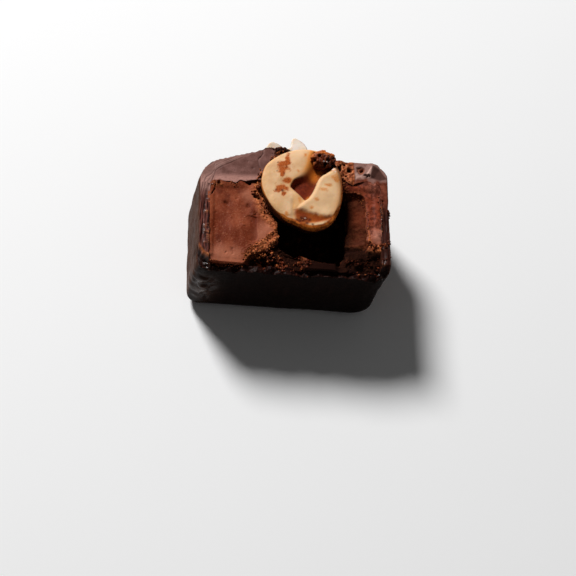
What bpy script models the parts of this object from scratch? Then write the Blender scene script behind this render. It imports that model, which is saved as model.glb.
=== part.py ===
"""Half of a hazelnut praline, lying on its back wall with the cut face up.

Metres, +Z up. X runs along the praline's width, Y from its base to its crown, and Z from the
wall that it lies on up to the cut. The origin is on the flat that it rests on, straight below the
middle of the cut face's width.
"""

import math

import bmesh
import bpy
from mathutils import Vector, noise

MM = 0.001

# The coated praline
WIDTH = 31.7 * MM
SHOULDER = 21.4 * MM  # base to the flat top beside the crown
CROWN = 1.9 * MM  # how far the crown beside the nut stands above that
CROWN_X = -3.0 * MM
CROWN_REACH = 6.0 * MM
CROWN_STRETCH = 1.2  # the crown runs this much further back than sideways
TOP_SLOPE = 0.045  # the top climbs this much from left to right
LEFT_DROP = 1.5 * MM  # and its left end falls off by this much more
LEFT_DROP_FROM = 0.55  # from this share of the half width outwards
DEPTH = 15.0 * MM  # from the cut to the wall that it lies on
SKEW = 0.06  # the cut isn't square: the walls drift left by this much of the depth
FOOT_ROUND = 2.0 * MM
SHOULDER_ROUND = 3.5 * MM
LEFT_ROUND = 2.4 * MM
RIGHT_ROUND = 3.8 * MM
BACK_ROUND = 3.0 * MM
REST_HEIGHT = 10.3 * MM  # base to the middle of the resting flat
WAVE_SIZE = 6.0 * MM  # the coating set in soft waves
WAVE_PUSH = 0.16 * MM
WAVE_FADE = 3.0 * MM  # which fade out towards the resting flat over this height

# The coating's thickness and the block of filling inside it
SIDE_WALL = 1.5 * MM
FLOOR_WALL = 1.3 * MM
BACK_WALL = 1.6 * MM
FILLING_LEFT_TOP = 16.2 * MM
FILLING_RIGHT_TOP = 18.0 * MM
FILLING_ROUND = 0.9 * MM
FILLING_SUNK = 0.35 * MM  # the filling's cut face lies this far below the coating's

# The half kernel
NUT_X = 1.1 * MM
NUT_HEIGHT = 14.75 * MM  # base to the kernel's middle
NUT_HALF_WIDTH = 6.8 * MM
NUT_HALF_LENGTH = 7.35 * MM
NUT_BACK = 5.5 * MM  # from the split face to the round back
NUT_BACK_CURVE = 0.85  # below 1, the back is flatter than an ellipsoid
NUT_PROUD = 1.9 * MM  # the split face stands this far out of the cut
HOLLOW_LINE = (0.67, 0.74)  # the hollow's direction across the split face
HOLLOW_LEFT = -0.28  # its two edges, in shares of the kernel's half size
HOLLOW_RIGHT = 0.14
HOLLOW_DEPTH = 2.6 * MM
PETAL_RISE = 0.75 * MM  # the raised flap at the hollow's right
PETAL_FOOT = (-0.18, -0.46)  # where the flap's lower edge starts
PETAL_SLOPE = -0.13  # and how it runs from there
BAND_DROP = 0.55 * MM  # the brown step under the flap
SEAM_X = -0.24
SEAM_WIDTH = 0.05
SEAM_DEPTH = 0.4 * MM
RIM_START = 0.86  # the relief fades out from here to the rim
RIM_RISE = 0.35 * MM  # the face is this much higher than the kernel's widest line
RIM_STEEPNESS = 3.0

FIT = 0.3 * MM  # gap between pieces that touch
OPEN_ABOVE = 3.0 * MM  # a space that is open at the cut reaches this far above it
SOCKET_ABOVE = 6.0 * MM
RAGGED_SIZE = 2.2 * MM  # the size of the breaks in the filling
SEED = 4  # fixes the noise that roughens the broken faces

BASE_Y = -REST_HEIGHT
CUT_Z = DEPTH
HALF_WIDTH = WIDTH / 2
NUT_CENTRE = Vector((NUT_X, BASE_Y + NUT_HEIGHT, CUT_Z + NUT_PROUD))


def clear_scene():
    for item in list(bpy.data.objects):
        bpy.data.objects.remove(item, do_unlink=True)


def new_collection(name, parent=None):
    collection = bpy.data.collections.new(name)
    (parent or bpy.context.scene.collection).children.link(collection)
    return collection


def new_material(name, colour, roughness):
    material = bpy.data.materials.new(name)
    material.use_nodes = True
    shader = material.node_tree.nodes["Principled BSDF"]
    shader.inputs["Base Color"].default_value = (*colour, 1.0)
    shader.inputs["Roughness"].default_value = roughness
    shader.inputs["Metallic"].default_value = 0.0
    return material


def new_object(name, bm, collection, material=None):
    bmesh.ops.recalc_face_normals(bm, faces=bm.faces)
    mesh = bpy.data.meshes.new(name)
    bm.to_mesh(mesh)
    bm.free()
    if material:
        mesh.materials.append(material)
        mesh.shade_smooth()
        mesh.set_sharp_from_angle(angle=math.radians(40))
    made = bpy.data.objects.new(name, mesh)
    collection.objects.link(made)
    return made


def cutter(name, bm, collection):
    made = new_object(name, bm, collection)
    made.hide_render = True
    made.display_type = "WIRE"
    return made


def cut(piece, tools):
    """Take all of a collection's solids away from the piece in one go."""
    modifier = piece.modifiers.new("cut", "BOOLEAN")
    modifier.operation = "DIFFERENCE"
    modifier.solver = "EXACT"
    modifier.operand_type = "COLLECTION"
    modifier.collection = tools


def grid_cube(segments):
    """A cube from -1 to 1 with the given number of segments along X, Y and Z."""
    bm = bmesh.new()
    bmesh.ops.create_cube(bm, size=2.0)
    for axis, count in enumerate(segments):
        along = [e for e in bm.edges if abs(e.verts[0].co[axis] - e.verts[1].co[axis]) > 1e-6]
        bmesh.ops.subdivide_edges(bm, edges=along, cuts=count - 1, use_grid_fill=True)
    return bm


def spread(t, low, high, low_round, high_round):
    """Place t, from -1 to 1, between low and high, with a quarter of the range in each rounded end."""
    share = 0.5
    inner_low, inner_high = low + low_round, high - high_round
    if t < -share and low_round:
        turn = (-t - share) / (1 - share)
        return inner_low - low_round * math.tan(turn * math.pi / 4)
    if t > share and high_round:
        turn = (t - share) / (1 - share)
        return inner_high + high_round * math.tan(turn * math.pi / 4)
    start = -share if low_round else -1.0
    end = share if high_round else 1.0
    return inner_low + (inner_high - inner_low) * (t - start) / (end - start)


def rounded_block(low, high, low_rounds, high_rounds, segments):
    """A block whose edges are rounded, by an own radius at each of its six sides; 0 leaves a side square."""
    bm = grid_cube(segments)
    for vert in bm.verts:
        place, offset, share = Vector(), Vector(), Vector()
        for axis in range(3):
            place[axis] = spread(vert.co[axis], low[axis], high[axis], low_rounds[axis], high_rounds[axis])
            inner_low, inner_high = low[axis] + low_rounds[axis], high[axis] - high_rounds[axis]
            nearest = min(max(place[axis], inner_low), inner_high)
            offset[axis] = place[axis] - nearest
            radius = low_rounds[axis] if offset[axis] < 0 else high_rounds[axis]
            share[axis] = offset[axis] / radius if radius else 0.0
        length = share.length
        pull = max(abs(s) for s in share) / length if length > 1e-9 else 1.0
        vert.co = place - offset + offset * pull
    return bm


def wobble(place, size, amount, seed=0.0):
    """A smooth random push, the same on each run."""
    return noise.noise_vector(place / size + Vector((seed, -seed, seed))) * amount


def crown_height(x, z):
    """Height of the coated top above the base."""
    away = (x - CROWN_X) / CROWN_REACH
    back = (CUT_Z - z) / (CROWN_REACH * CROWN_STRETCH)
    outer = max(0.0, -x / HALF_WIDTH - LEFT_DROP_FROM) / (1 - LEFT_DROP_FROM)
    crown = CROWN * math.exp(-away * away - back * back)
    return SHOULDER + TOP_SLOPE * x + crown - LEFT_DROP * outer * outer


def skewed(x, z):
    return x - SKEW * (CUT_Z - z)


def praline_body(grow=0.0):
    """The whole outer form of the half, before it is hollowed. Grow moves its top out."""
    low = Vector((-HALF_WIDTH, BASE_Y, 0.0))
    high = Vector((HALF_WIDTH, BASE_Y + SHOULDER, CUT_Z))
    bm = rounded_block(
        low,
        high,
        (LEFT_ROUND, FOOT_ROUND, BACK_ROUND),
        (RIGHT_ROUND, SHOULDER_ROUND, 0.0),
        (20, 14, 9),
    )
    for vert in bm.verts:
        x, y, z = vert.co
        level = (y - BASE_Y) / SHOULDER
        push = wobble(vert.co, WAVE_SIZE, WAVE_PUSH)
        loose = min(max(z, 0.0) / WAVE_FADE, 1.0)  # the resting flat stays flat
        y = BASE_Y + level * (crown_height(x, z) + grow) + push.y * loose
        vert.co = (skewed(x, z) + push.x * loose, y, z)
    return bm


def filling_block(gap, front_z):
    """The block of filling, smaller by gap at every side but its front."""
    inner_x = HALF_WIDTH - SIDE_WALL - gap
    low = Vector((-inner_x, BASE_Y + FLOOR_WALL + gap, BACK_WALL + gap))
    high = Vector((inner_x, BASE_Y + FILLING_LEFT_TOP - gap, front_z))
    rounds = FILLING_ROUND
    bm = rounded_block(low, high, (rounds, rounds, rounds), (rounds, rounds, 0.0), (8, 8, 6))
    rise = FILLING_RIGHT_TOP - FILLING_LEFT_TOP
    for vert in bm.verts:
        level = (vert.co.y - low.y) / (high.y - low.y)
        across = (vert.co.x + inner_x) / (2 * inner_x)
        vert.co.y += rise * across * level
        vert.co.x = skewed(vert.co.x, vert.co.z)
    return bm


def ramp(value, start, end):
    """A smooth step from 0 at start to 1 at end."""
    t = min(max((value - start) / (end - start), 0.0), 1.0)
    return t * t * (3 - 2 * t)


def split_face(x, y):
    """Relief of the kernel's split face, where x and y run from -1 to 1 across it.

    A hollow lies aslant from the lower left to the upper right. The flap to its right stands up,
    and below the flap is a lower band. A seam runs from the hollow's foot down to the rim.
    """
    along = HOLLOW_LINE[0] * x + HOLLOW_LINE[1] * y
    across = HOLLOW_LINE[1] * x - HOLLOW_LINE[0] * y
    wall = ramp(across, HOLLOW_LEFT - 0.06, HOLLOW_LEFT + 0.06)
    wall *= 1 - ramp(across, HOLLOW_RIGHT - 0.04, HOLLOW_RIGHT + 0.03)
    hollow = wall * ramp(along, -0.25, -0.08) * (1 - 0.6 * ramp(along, 0.2, 0.95))
    foot_x, foot_y = PETAL_FOOT
    above_foot = y - foot_y - PETAL_SLOPE * (x - foot_x)
    right_of_hollow = ramp(across, HOLLOW_RIGHT - 0.02, HOLLOW_RIGHT + 0.06)
    flap = right_of_hollow * ramp(above_foot, -0.07, 0.07)
    band = right_of_hollow * (1 - ramp(above_foot, -0.14, 0.0)) * ramp(x, -0.12, 0.0)
    seam = math.exp(-(((x - SEAM_X) / SEAM_WIDTH) ** 2)) * (1 - ramp(y, -0.45, -0.25))
    rim = 1 - ramp(math.hypot(x, y), RIM_START, 1.0)
    return rim * (PETAL_RISE * flap - HOLLOW_DEPTH * hollow - BAND_DROP * band - SEAM_DEPTH * seam)


def kernel(grow=0.0, flat=False):
    """The half hazelnut. Grow gives a bigger one for its socket, which reaches far out if flat."""
    bm = grid_cube((24, 24, 6))
    for vert in bm.verts:
        x, y, z = vert.co.normalized()
        if z < 0:
            height = -((-z) ** NUT_BACK_CURVE) * (NUT_BACK + grow)
        elif flat:
            height = SOCKET_ABOVE * min(1.0, z * RIM_STEEPNESS)
        else:
            height = split_face(x, y) + (RIM_RISE + 1.5 * grow) * min(1.0, z * RIM_STEEPNESS)
        vert.co = (x * (NUT_HALF_WIDTH + grow), y * (NUT_HALF_LENGTH + grow), height)
        vert.co += NUT_CENTRE
    return bm


def crag(centre, radii_mm, rough_mm, size_mm, detail=2, seed=0.0):
    """A lump with a broken surface."""
    bm = bmesh.new()
    bmesh.ops.create_icosphere(bm, subdivisions=detail, radius=1.0)
    for vert in bm.verts:
        place = Vector([along * radius * MM for along, radius in zip(vert.co, radii_mm)])
        vert.co = centre + place + wobble(place, size_mm * MM, rough_mm * MM, seed)
    return bm


def ragged_block(low, high, rounds, roughness, segments, lumps=()):
    """A broken-out space. Its floor rises over the lumps, which are left standing in it."""
    bm = rounded_block(low, high, (rounds,) * 3, (rounds,) * 3, segments)
    middle = (low.y + high.y) / 2
    for vert in bm.verts:
        place = vert.co.copy()
        vert.co += wobble(place, RAGGED_SIZE, roughness)
        floor = min(max((middle - place.y) / (middle - low.y), 0.0), 1.0)
        for top, radius in lumps:
            away = math.hypot(place.x - top.x, place.z - top.z) / radius
            vert.co.y += floor * (top.y - low.y) * math.exp(-away ** 3)
    return bm


def at(x_mm, height_mm, above_cut_mm):
    """A point by its distance from the middle, its height above the base and above the cut."""
    return Vector((x_mm * MM, BASE_Y + height_mm * MM, CUT_Z + above_cut_mm * MM))


def broken_spaces(collection):
    """What is missing from the filling, apart from the kernel's socket."""
    lumps = ((-1.4, 4.3, -1.9, 1.5), (1.2, 4.0, -1.3, 1.2), (0.6, 3.3, -4.4, 1.4))
    standing = [(at(x, height, above), radius * MM) for x, height, above, radius in lumps]
    blocks = (
        ("hollow", at(-2.7, 2.0, -8.0), at(8.6, 11.4, 4.0), 2.0, 0.65, (14, 8, 14), standing),
        ("side_gap", at(6.6, 8.0, -3.6), at(9.0, 15.5, 4.0), 0.8, 0.3, (4, 7, 6), ()),
        ("step", at(7.6, 5.4, -1.3), at(12.0, 15.8, 3.0), 0.7, 0.3, (5, 8, 4), ()),
    )
    for name, low, high, round_mm, rough_mm, segments, floor_lumps in blocks:
        cutter(name, ragged_block(low, high, round_mm * MM, rough_mm * MM, segments, floor_lumps), collection)
    cutter("left_break", crag(at(-5.3, 1.5, 0.0), (3.3, 2.1, 3.4), 0.5, 1.3), collection)
    cutter("right_break", crag(at(11.6, 1.9, 0.2), (3.4, 2.2, 2.2), 0.6, 1.2), collection)


def broken_coating(collection):
    """The coating's notch over the kernel and the bubbles in its thick part."""
    cutter("notch", crag(at(-1.6, 22.9, 0.5), (2.7, 1.7, 1.8), 0.5, 1.3), collection)
    bubbles = ((7.6, 20.2, 0.42), (9.2, 20.1, 0.50), (8.4, 17.9, 0.40), (11.2, 20.3, 0.55), (12.6, 19.2, 0.34))
    for number, (x_mm, height_mm, radius_mm) in enumerate(bubbles):
        bubble = crag(at(x_mm, height_mm, 0.05), (radius_mm,) * 3, 0.08, 0.5, 1)
        cutter("bubble_%d" % number, bubble, collection)


def make_coating(collection, tools):
    chocolate = new_material("dark_chocolate", (0.045, 0.018, 0.012), 0.4)
    missing = new_collection("missing_from_coating", tools)
    cutter("pocket", filling_block(0.0, CUT_Z + OPEN_ABOVE), missing)
    missing.objects.link(bpy.data.objects["socket"])
    broken_coating(missing)
    cut(new_object("coating", praline_body(), collection, chocolate), missing)


def make_filling(collection, tools):
    """The gianduja block, broken out under the kernel."""
    gianduja = new_material("gianduja", (0.19, 0.055, 0.026), 0.5)
    missing = new_collection("missing_from_filling", tools)
    missing.objects.link(bpy.data.objects["socket"])
    broken_spaces(missing)
    cut(new_object("filling", filling_block(FIT, CUT_Z - FILLING_SUNK), collection, gianduja), missing)


def make_hazelnut(collection):
    kernel_flesh = new_material("kernel", (0.60, 0.36, 0.17), 0.5)
    new_object("hazelnut", kernel(), collection, kernel_flesh)


def make_chips(collection, tools):
    """Two chips of nut that stick up from the crown, shaped on their undersides to lie on it."""
    white_nut = new_material("nut_chip", (0.72, 0.58, 0.45), 0.55)
    beneath = new_collection("beneath_chips", tools)
    cutter("over_body", praline_body(FIT), beneath)
    beneath.objects.link(bpy.data.objects["socket"])
    chips = (
        ("nut_chip_left", at(-3.1, 24.5, -2.4), (1.6, 1.7, 1.2), 3.0),
        ("nut_chip_right", at(0.85, 24.7, -2.5), (1.6, 2.5, 1.3), 7.0),
    )
    for name, centre, radii_mm, seed in chips:
        cut(new_object(name, crag(centre, radii_mm, 0.5, 1.2, 2, seed), collection, white_nut), beneath)


def make_crumb(collection, tools):
    """The crumb of coating that sticks to the kernel's upper right."""
    crumb_chocolate = new_material("chocolate_crumb", (0.09, 0.028, 0.015), 0.45)
    beneath = new_collection("beneath_crumb", tools)
    cutter("over_face", kernel(FIT), beneath)
    crumb = crag(at(4.35, 20.1, 2.3), (2.2, 1.7, 1.2), 0.5, 0.9, 2, 11.0)
    cut(new_object("chocolate_crumb", crumb, collection, crumb_chocolate), beneath)


def main():
    clear_scene()
    noise.seed_set(SEED)
    pieces = new_collection("hazelnut_praline_half")
    tools = new_collection("cutters")
    cutter("socket", kernel(FIT, flat=True), tools)
    make_coating(pieces, tools)
    make_filling(pieces, tools)
    make_hazelnut(pieces)
    make_chips(pieces, tools)
    make_crumb(pieces, tools)


main()
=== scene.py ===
import math
from itertools import product

import bmesh
import bpy
import numpy as np
from mathutils import Matrix, Vector, noise
from mathutils.bvhtree import BVHTree


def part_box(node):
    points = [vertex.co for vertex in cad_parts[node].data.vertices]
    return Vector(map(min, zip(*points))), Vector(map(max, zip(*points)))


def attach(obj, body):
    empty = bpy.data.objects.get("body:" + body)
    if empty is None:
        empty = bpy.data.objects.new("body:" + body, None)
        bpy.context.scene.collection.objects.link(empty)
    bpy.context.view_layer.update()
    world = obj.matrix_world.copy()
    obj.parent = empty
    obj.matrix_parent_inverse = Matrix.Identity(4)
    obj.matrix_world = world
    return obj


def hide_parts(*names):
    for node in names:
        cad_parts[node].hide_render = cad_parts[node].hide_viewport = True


# The cut half of a hazelnut praline: a dark coating, a gianduja filling and half a kernel.
# Shapes are worked out in millimetres. X runs across the praline, Y from its base to its crown,
# and Z from the wall that it lies on up to the cut face.

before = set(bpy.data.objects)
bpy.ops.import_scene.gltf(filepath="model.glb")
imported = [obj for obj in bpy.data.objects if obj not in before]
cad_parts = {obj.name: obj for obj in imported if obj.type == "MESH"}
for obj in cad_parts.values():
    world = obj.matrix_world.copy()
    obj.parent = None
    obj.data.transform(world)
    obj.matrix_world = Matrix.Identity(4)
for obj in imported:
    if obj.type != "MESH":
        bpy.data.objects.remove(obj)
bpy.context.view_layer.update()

mm = 0.001
restHeight = 10.3  # from the praline's base to the middle of the flat that it lies on
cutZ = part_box("coating")[1].z / mm
nutLow, nutHigh = (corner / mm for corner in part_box("hazelnut"))

noise.seed_set(4)
dice = np.random.default_rng(12)
numberTable = dice.uniform(-1.0, 1.0, 8192)
offsetTable = dice.uniform(-0.42, 0.42, (8192, 3))


# Points, lines and noise

def fromCut(points):
    # distance from the middle, height above the base, distance above the cut
    return points[:, 0], points[:, 1] + restHeight, points[:, 2] - cutZ


def ramp(value, start, end):
    t = np.clip((value - start) / (end - start), 0.0, 1.0)
    return t * t * (3 - 2 * t)


def bell(value, middle, width):
    return np.exp(-((value - middle) / width) ** 2)


def drawer(cells, salt):
    # the number table's drawer for each cell of a grid
    mixed = cells[:, 0] * 73856093 ^ cells[:, 1] * 19349663 ^ cells[:, 2] * 83492791 ^ salt * 2654435
    mixed = (mixed ^ (mixed >> 11)) * 668265263
    return (mixed ^ (mixed >> 15)) & 8191


def clouds(points, size, salt, levels=3):
    # smooth noise from -1 to 1 whose largest lumps are this size
    total, share = np.zeros(len(points)), 1.0
    for level in range(levels):
        place = points / size + salt * 3.7
        corner = np.floor(place).astype(np.int64)
        part = place - corner
        part = part ** 3 * (part * (part * 6 - 15) + 10)
        for step in product((0, 1), repeat=3):
            weight = np.prod(np.where(np.array(step) == 1, part, 1 - part), axis=1)
            total += share * weight * numberTable[drawer(corner + step, salt + level)]
        size, share = size * 0.5, share * 0.55
    return total


def crumble(points, size, salt):
    # uneven round crumbs of this size, from about -1 to 1
    bent = points + 0.35 * size * np.stack([clouds(points, 1.3 * size, salt + k, 2) for k in range(3)], axis=1)
    place = bent / size
    corner = np.floor(place).astype(np.int64)
    best = np.full(len(points), -9.0)
    for step in product((-1, 0, 1), repeat=3):
        cell = corner + step
        drawers = drawer(cell, salt)
        away = np.linalg.norm(place - cell - 0.5 - offsetTable[drawers], axis=1)
        best = np.maximum(best, 0.55 * numberTable[drawers] + 0.75 - 1.5 * away ** 2)
    return best


def onlyWhere(wanted, shape, points, *facts):
    # works a shape out only at the points that need it
    values = np.zeros(len(points))
    chosen = wanted > 0.001
    if chosen.any():
        values[chosen] = shape(points[chosen], *facts)
    return values * wanted


def smoothLine(corners, steps=6):
    # a curve through the corners
    line, last = [], len(corners) - 1
    for i in range(last):
        a, b, c, d = (np.array(corners[min(max(k, 0), last)], float) for k in (i - 1, i, i + 1, i + 2))
        for t in np.arange(steps) / steps:
            line.append(0.5 * (2 * b + (c - a) * t + (2 * a - 5 * b + 4 * c - d) * t ** 2
                               + (3 * b - a - 3 * c + d) * t ** 3))
    return np.array(line + [np.array(corners[-1], float)])


def offLine(x, y, line):
    # distance to a line, positive at its left
    place = np.stack([x, y], axis=1)
    best, side = np.full(len(x), 1e9), np.ones(len(x))
    for a, b in zip(line[:-1], line[1:]):
        run = b - a
        t = np.clip(((place - a) @ run) / max(run @ run, 1e-12), 0, 1)
        gap = place - a - t[:, None] * run
        away = np.linalg.norm(gap, axis=1)
        closer = away < best
        best = np.where(closer, away, best)
        cross = run[0] * gap[:, 1] - run[1] * gap[:, 0]
        side = np.where(closer, np.where(cross >= 0, 1.0, -1.0), side)
    return best * side


def within(x, y, outline):
    # distance inside a closed outline, negative outside
    line = np.array(outline, float)
    closed = np.vstack([line, line[:1]])
    away = np.abs(offLine(x, y, closed))
    inside = np.zeros(len(x), bool)
    for a, b in zip(closed[:-1], closed[1:]):
        crosses = (a[1] > y) != (b[1] > y)
        inside ^= crosses & (x < (b[0] - a[0]) * (y - a[1]) / (b[1] - a[1] + 1e-12) + a[0])
    return np.where(inside, away, -away)


def offCurve(x, y, corners):
    return offLine(x, y, smoothLine(corners))


def withinCurve(x, y, corners):
    return within(x, y, smoothLine(corners + corners[:1]))


def dab(x, y, cx, cy, radius, power=2):
    # 1 at a spot's middle, fading out over its radius
    return np.exp(-(np.hypot(x - cx, y - cy) / radius) ** power)


def spots(x, y, marks, power):
    # 1 at each mark's middle, fading out over its radius, or over its half width and half height
    most = np.zeros(len(x))
    for cx, cy, wide, *tall in marks:
        away = np.hypot((x - cx) / wide, (y - cy) / (tall or [wide])[0])
        most = np.maximum(most, np.exp(-away ** power))
    return most


def bumps(x, y, marks):
    # round bumps added up, each with its middle, radius and height
    return sum(height * dab(x, y, cx, cy, radius) for cx, cy, radius, height in marks)


# Meshes

def newPiece(name, bm):
    mesh = bpy.data.meshes.new(name)
    bmesh.ops.recalc_face_normals(bm, faces=bm.faces)
    bm.to_mesh(mesh)
    bm.free()
    piece = bpy.data.objects.new(name, mesh)
    bpy.context.scene.collection.objects.link(piece)
    return piece


def readPoints(piece):
    flat = np.empty(len(piece.data.vertices) * 3, np.float32)
    piece.data.vertices.foreach_get("co", flat)
    return flat.reshape(-1, 3).astype(float) / mm


def readNormals(piece):
    flat = np.empty(len(piece.data.vertices) * 3, np.float32)
    piece.data.vertices.foreach_get("normal", flat)
    return flat.reshape(-1, 3).astype(float)


def writePoints(piece, points):
    piece.data.vertices.foreach_set("co", (points * mm).astype(np.float32).ravel())
    piece.data.update()


def writeMask(piece, name, values):
    layer = piece.data.attributes.new(name, "FLOAT", "POINT")
    layer.data.foreach_set("value", np.clip(values, 0.0, 1.0).astype(np.float32))


def neighbourMeans(piece, values):
    # the mean of each point's neighbours
    flat = np.empty(len(piece.data.edges) * 2, np.int32)
    piece.data.edges.foreach_get("vertices", flat)
    a, b = flat.reshape(-1, 2).T
    count = len(values)
    degree = np.bincount(a, minlength=count) + np.bincount(b, minlength=count)
    columns = [np.bincount(a, values[b, k], count) + np.bincount(b, values[a, k], count)
               for k in range(values.shape[1])]
    return np.stack(columns, axis=1) / np.maximum(degree, 1)[:, None]


def relax(piece, times, strength=0.5):
    points = readPoints(piece)
    for _ in range(times):
        points += strength * (neighbourMeans(piece, points) - points)
    writePoints(piece, points)


def crests(piece, reach):
    # how far each point stands out from the surface around it, in shares of reach
    points, normals = readPoints(piece), readNormals(piece)
    around = points
    for _ in range(4):
        around = neighbourMeans(piece, around)
    out = ((points - around) * normals).sum(axis=1, keepdims=True)
    return neighbourMeans(piece, out)[:, 0] / reach


def settle(piece):
    # the piece's mesh becomes what its modifiers make of it
    graph = bpy.context.evaluated_depsgraph_get()
    mesh = bpy.data.meshes.new_from_object(piece.evaluated_get(graph))
    piece.modifiers.clear()
    piece.data = mesh


def remesh(piece, voxel):
    modifier = piece.modifiers.new("even skin", "REMESH")
    modifier.mode = "VOXEL"
    modifier.voxel_size = voxel * mm
    settle(piece)


def refine(piece, depth, cuts):
    # split the faces that lie less than this depth below the cut
    bm = bmesh.new()
    bm.from_mesh(piece.data)
    middles = np.array([face.calc_center_median() for face in bm.faces]) / mm
    wanted = middles[:, 2] > cutZ - depth
    edges = {edge for face, yes in zip(bm.faces, wanted) if yes for edge in face.edges}
    bmesh.ops.subdivide_edges(bm, edges=list(edges), cuts=cuts, use_grid_fill=True)
    bmesh.ops.triangulate(bm, faces=[face for face in bm.faces if len(face.verts) > 4])
    bm.to_mesh(piece.data)
    bm.free()


def copyOf(node, name):
    piece = bpy.data.objects.new(name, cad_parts[node].data.copy())
    bpy.context.scene.collection.objects.link(piece)
    piece.data.materials.clear()
    return piece


def hand(piece, material, slot, *nodes):
    # give a finished piece its material and its place in the part
    piece.data.materials.clear()
    piece.data.materials.append(material)
    piece.data.shade_smooth()
    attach(piece, "root")
    if nodes:
        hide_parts(*nodes)
    print(piece.name, "has", len(piece.data.polygons), "faces")
    return piece


# Materials

def plug(tree, into, inputs):
    # join each input to its socket, or set the socket to it
    for socket, value in inputs.items():
        if isinstance(value, bpy.types.NodeSocket):
            tree.links.new(value, into.inputs[socket])
        else:
            into.inputs[socket].default_value = value


def add(tree, kind, inputs=None, **settings):
    made = tree.nodes.new(kind)
    for key, value in settings.items():
        setattr(made, key, value)
    plug(tree, made, inputs or {})
    return made


def mask(tree, name):
    return add(tree, "ShaderNodeAttribute", attribute_name=name).outputs["Fac"]


def between(tree, value, low, high, to=(0.0, 1.0)):
    return add(tree, "ShaderNodeMapRange", {0: value, 1: low, 2: high, 3: to[0], 4: to[1]},
               interpolation_type="SMOOTHSTEP").outputs[0]


def speckle(tree, size, detail=3.0, stretch=(1.0, 1.0, 1.0), rough=0.55):
    # noise from 0 to 1 whose lumps are about this many millimetres
    place = add(tree, "ShaderNodeTexCoord").outputs["Object"]
    scaled = add(tree, "ShaderNodeVectorMath", {0: place, 1: [1 / (s * mm) for s in stretch]},
                 operation="MULTIPLY").outputs[0]
    return add(tree, "ShaderNodeTexNoise", {"Vector": scaled, "Scale": 1 / size, "Detail": detail,
                                            "Roughness": rough}).outputs[0]


def times(tree, a, b):
    return add(tree, "ShaderNodeMath", {0: a, 1: b}, operation="MULTIPLY").outputs[0]


def plus(tree, a, b):
    return add(tree, "ShaderNodeMath", {0: a, 1: b}, operation="ADD").outputs[0]


def blend(tree, amount, first, second):
    first, second = (c if isinstance(c, bpy.types.NodeSocket) else (*c, 1.0) for c in (first, second))
    return add(tree, "ShaderNodeMix", {0: amount, 6: first, 7: second}, data_type="RGBA").outputs[2]


def shades(tree, dark, light, size, detail=4.0, limits=(0.3, 0.7), **more):
    # two shades of a colour, in lumps of about this many millimetres
    return blend(tree, between(tree, speckle(tree, size, detail, **more), *limits), dark, light)


def patches(tree, size, limits, strength, detail=3.0, **more):
    # how strongly a coat covers, in patches of about this many millimetres
    return times(tree, between(tree, speckle(tree, size, detail, **more), *limits), strength)


def towards(tree, name, first, second):
    # a value that goes from the first to the second under a mask
    return add(tree, "ShaderNodeMix", {0: mask(tree, name), 2: first, 3: second}).outputs[0]


def paint(tree, colour, coats):
    # lay coats over a colour: the name of a mask, how strongly it covers, and the coat's colour
    for name, strength, coat in coats:
        colour = blend(tree, times(tree, mask(tree, name), strength), colour, coat)
    return colour


def newMaterial(name, facts):
    material = bpy.data.materials.new(name)
    material.use_nodes = True
    tree = material.node_tree
    shader = tree.nodes["Principled BSDF"]
    plug(tree, shader, facts)
    return material, tree, shader


def relief(tree, shader, height, distance, strength):
    bump = add(tree, "ShaderNodeBump", {"Height": height, "Distance": distance * mm, "Strength": strength})
    tree.links.new(bump.outputs[0], shader.inputs["Normal"])


# The forms that the pieces share

praline = {
    "width": 31.7,
    "shoulder": 21.4,  # base to the flat top beside the crown
    "crown": 1.9,
    "crownX": -3.0,
    "crownReach": 6.0,
    "topSlope": 0.045,
    "leftDrop": 1.5,
    "leftDropFrom": 0.55,
    "skew": 0.06,  # the walls drift left by this share of the depth
    "lowRounds": (2.4, 2.0, 3.0),  # left end, foot, back
    "highRounds": (3.8, 3.5, 0.0),  # right end, top, cut
    "sideWall": 1.5,
    "floorWall": 1.3,
    "backWall": 1.6,
    "fillingTops": (16.2, 18.0),  # at its left and right ends
    "fillingRise": 0.063,  # how its top climbs along the cut
    "fillingRound": 0.9,
    "gap": 0.3,  # the solids leave this free between pieces that touch
    "unevenness": 0.16,
}
halfWidth = praline["width"] / 2

kernelForm = {
    "centre": ((nutLow.x + nutHigh.x) / 2, (nutLow.y + nutHigh.y) / 2, cutZ + 1.9),
    "radii": ((nutHigh.x - nutLow.x) / 2, (nutHigh.y - nutLow.y) / 2),
    "back": 5.5,
    "seat": ((1.1, 14.75), (6.8, 7.35)),  # its middle and half size on the cut, from the base
}


def gridCube(counts):
    # a cube from -1 to 1 with this many faces along each axis
    bm = bmesh.new()
    bmesh.ops.create_cube(bm, size=2.0)
    for axis, count in enumerate(counts):
        along = [e for e in bm.edges if abs(e.verts[0].co[axis] - e.verts[1].co[axis]) > 1e-6]
        bmesh.ops.subdivide_edges(bm, edges=along, cuts=count - 1, use_grid_fill=True)
    return bm


def bendPoints(bm, bend):
    # move all points of a mesh by one function on their array
    points = bend(np.array([vert.co for vert in bm.verts]))
    for vert, place in zip(bm.verts, points):
        vert.co = place * mm


def spread(t, low, high, lowRound, highRound):
    # t from -1 to 1 goes from low to high, with a quarter of it in each rounded end
    innerLow, innerHigh = low + lowRound, high - highRound
    start = -0.5 if lowRound else -1.0
    end = 0.5 if highRound else 1.0
    place = innerLow + (innerHigh - innerLow) * (t - start) / (end - start)
    if lowRound:
        place = np.where(t < -0.5, innerLow - lowRound * np.tan((-t - 0.5) * math.pi / 2), place)
    if highRound:
        place = np.where(t > 0.5, innerHigh + highRound * np.tan((t - 0.5) * math.pi / 2), place)
    return place


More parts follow.
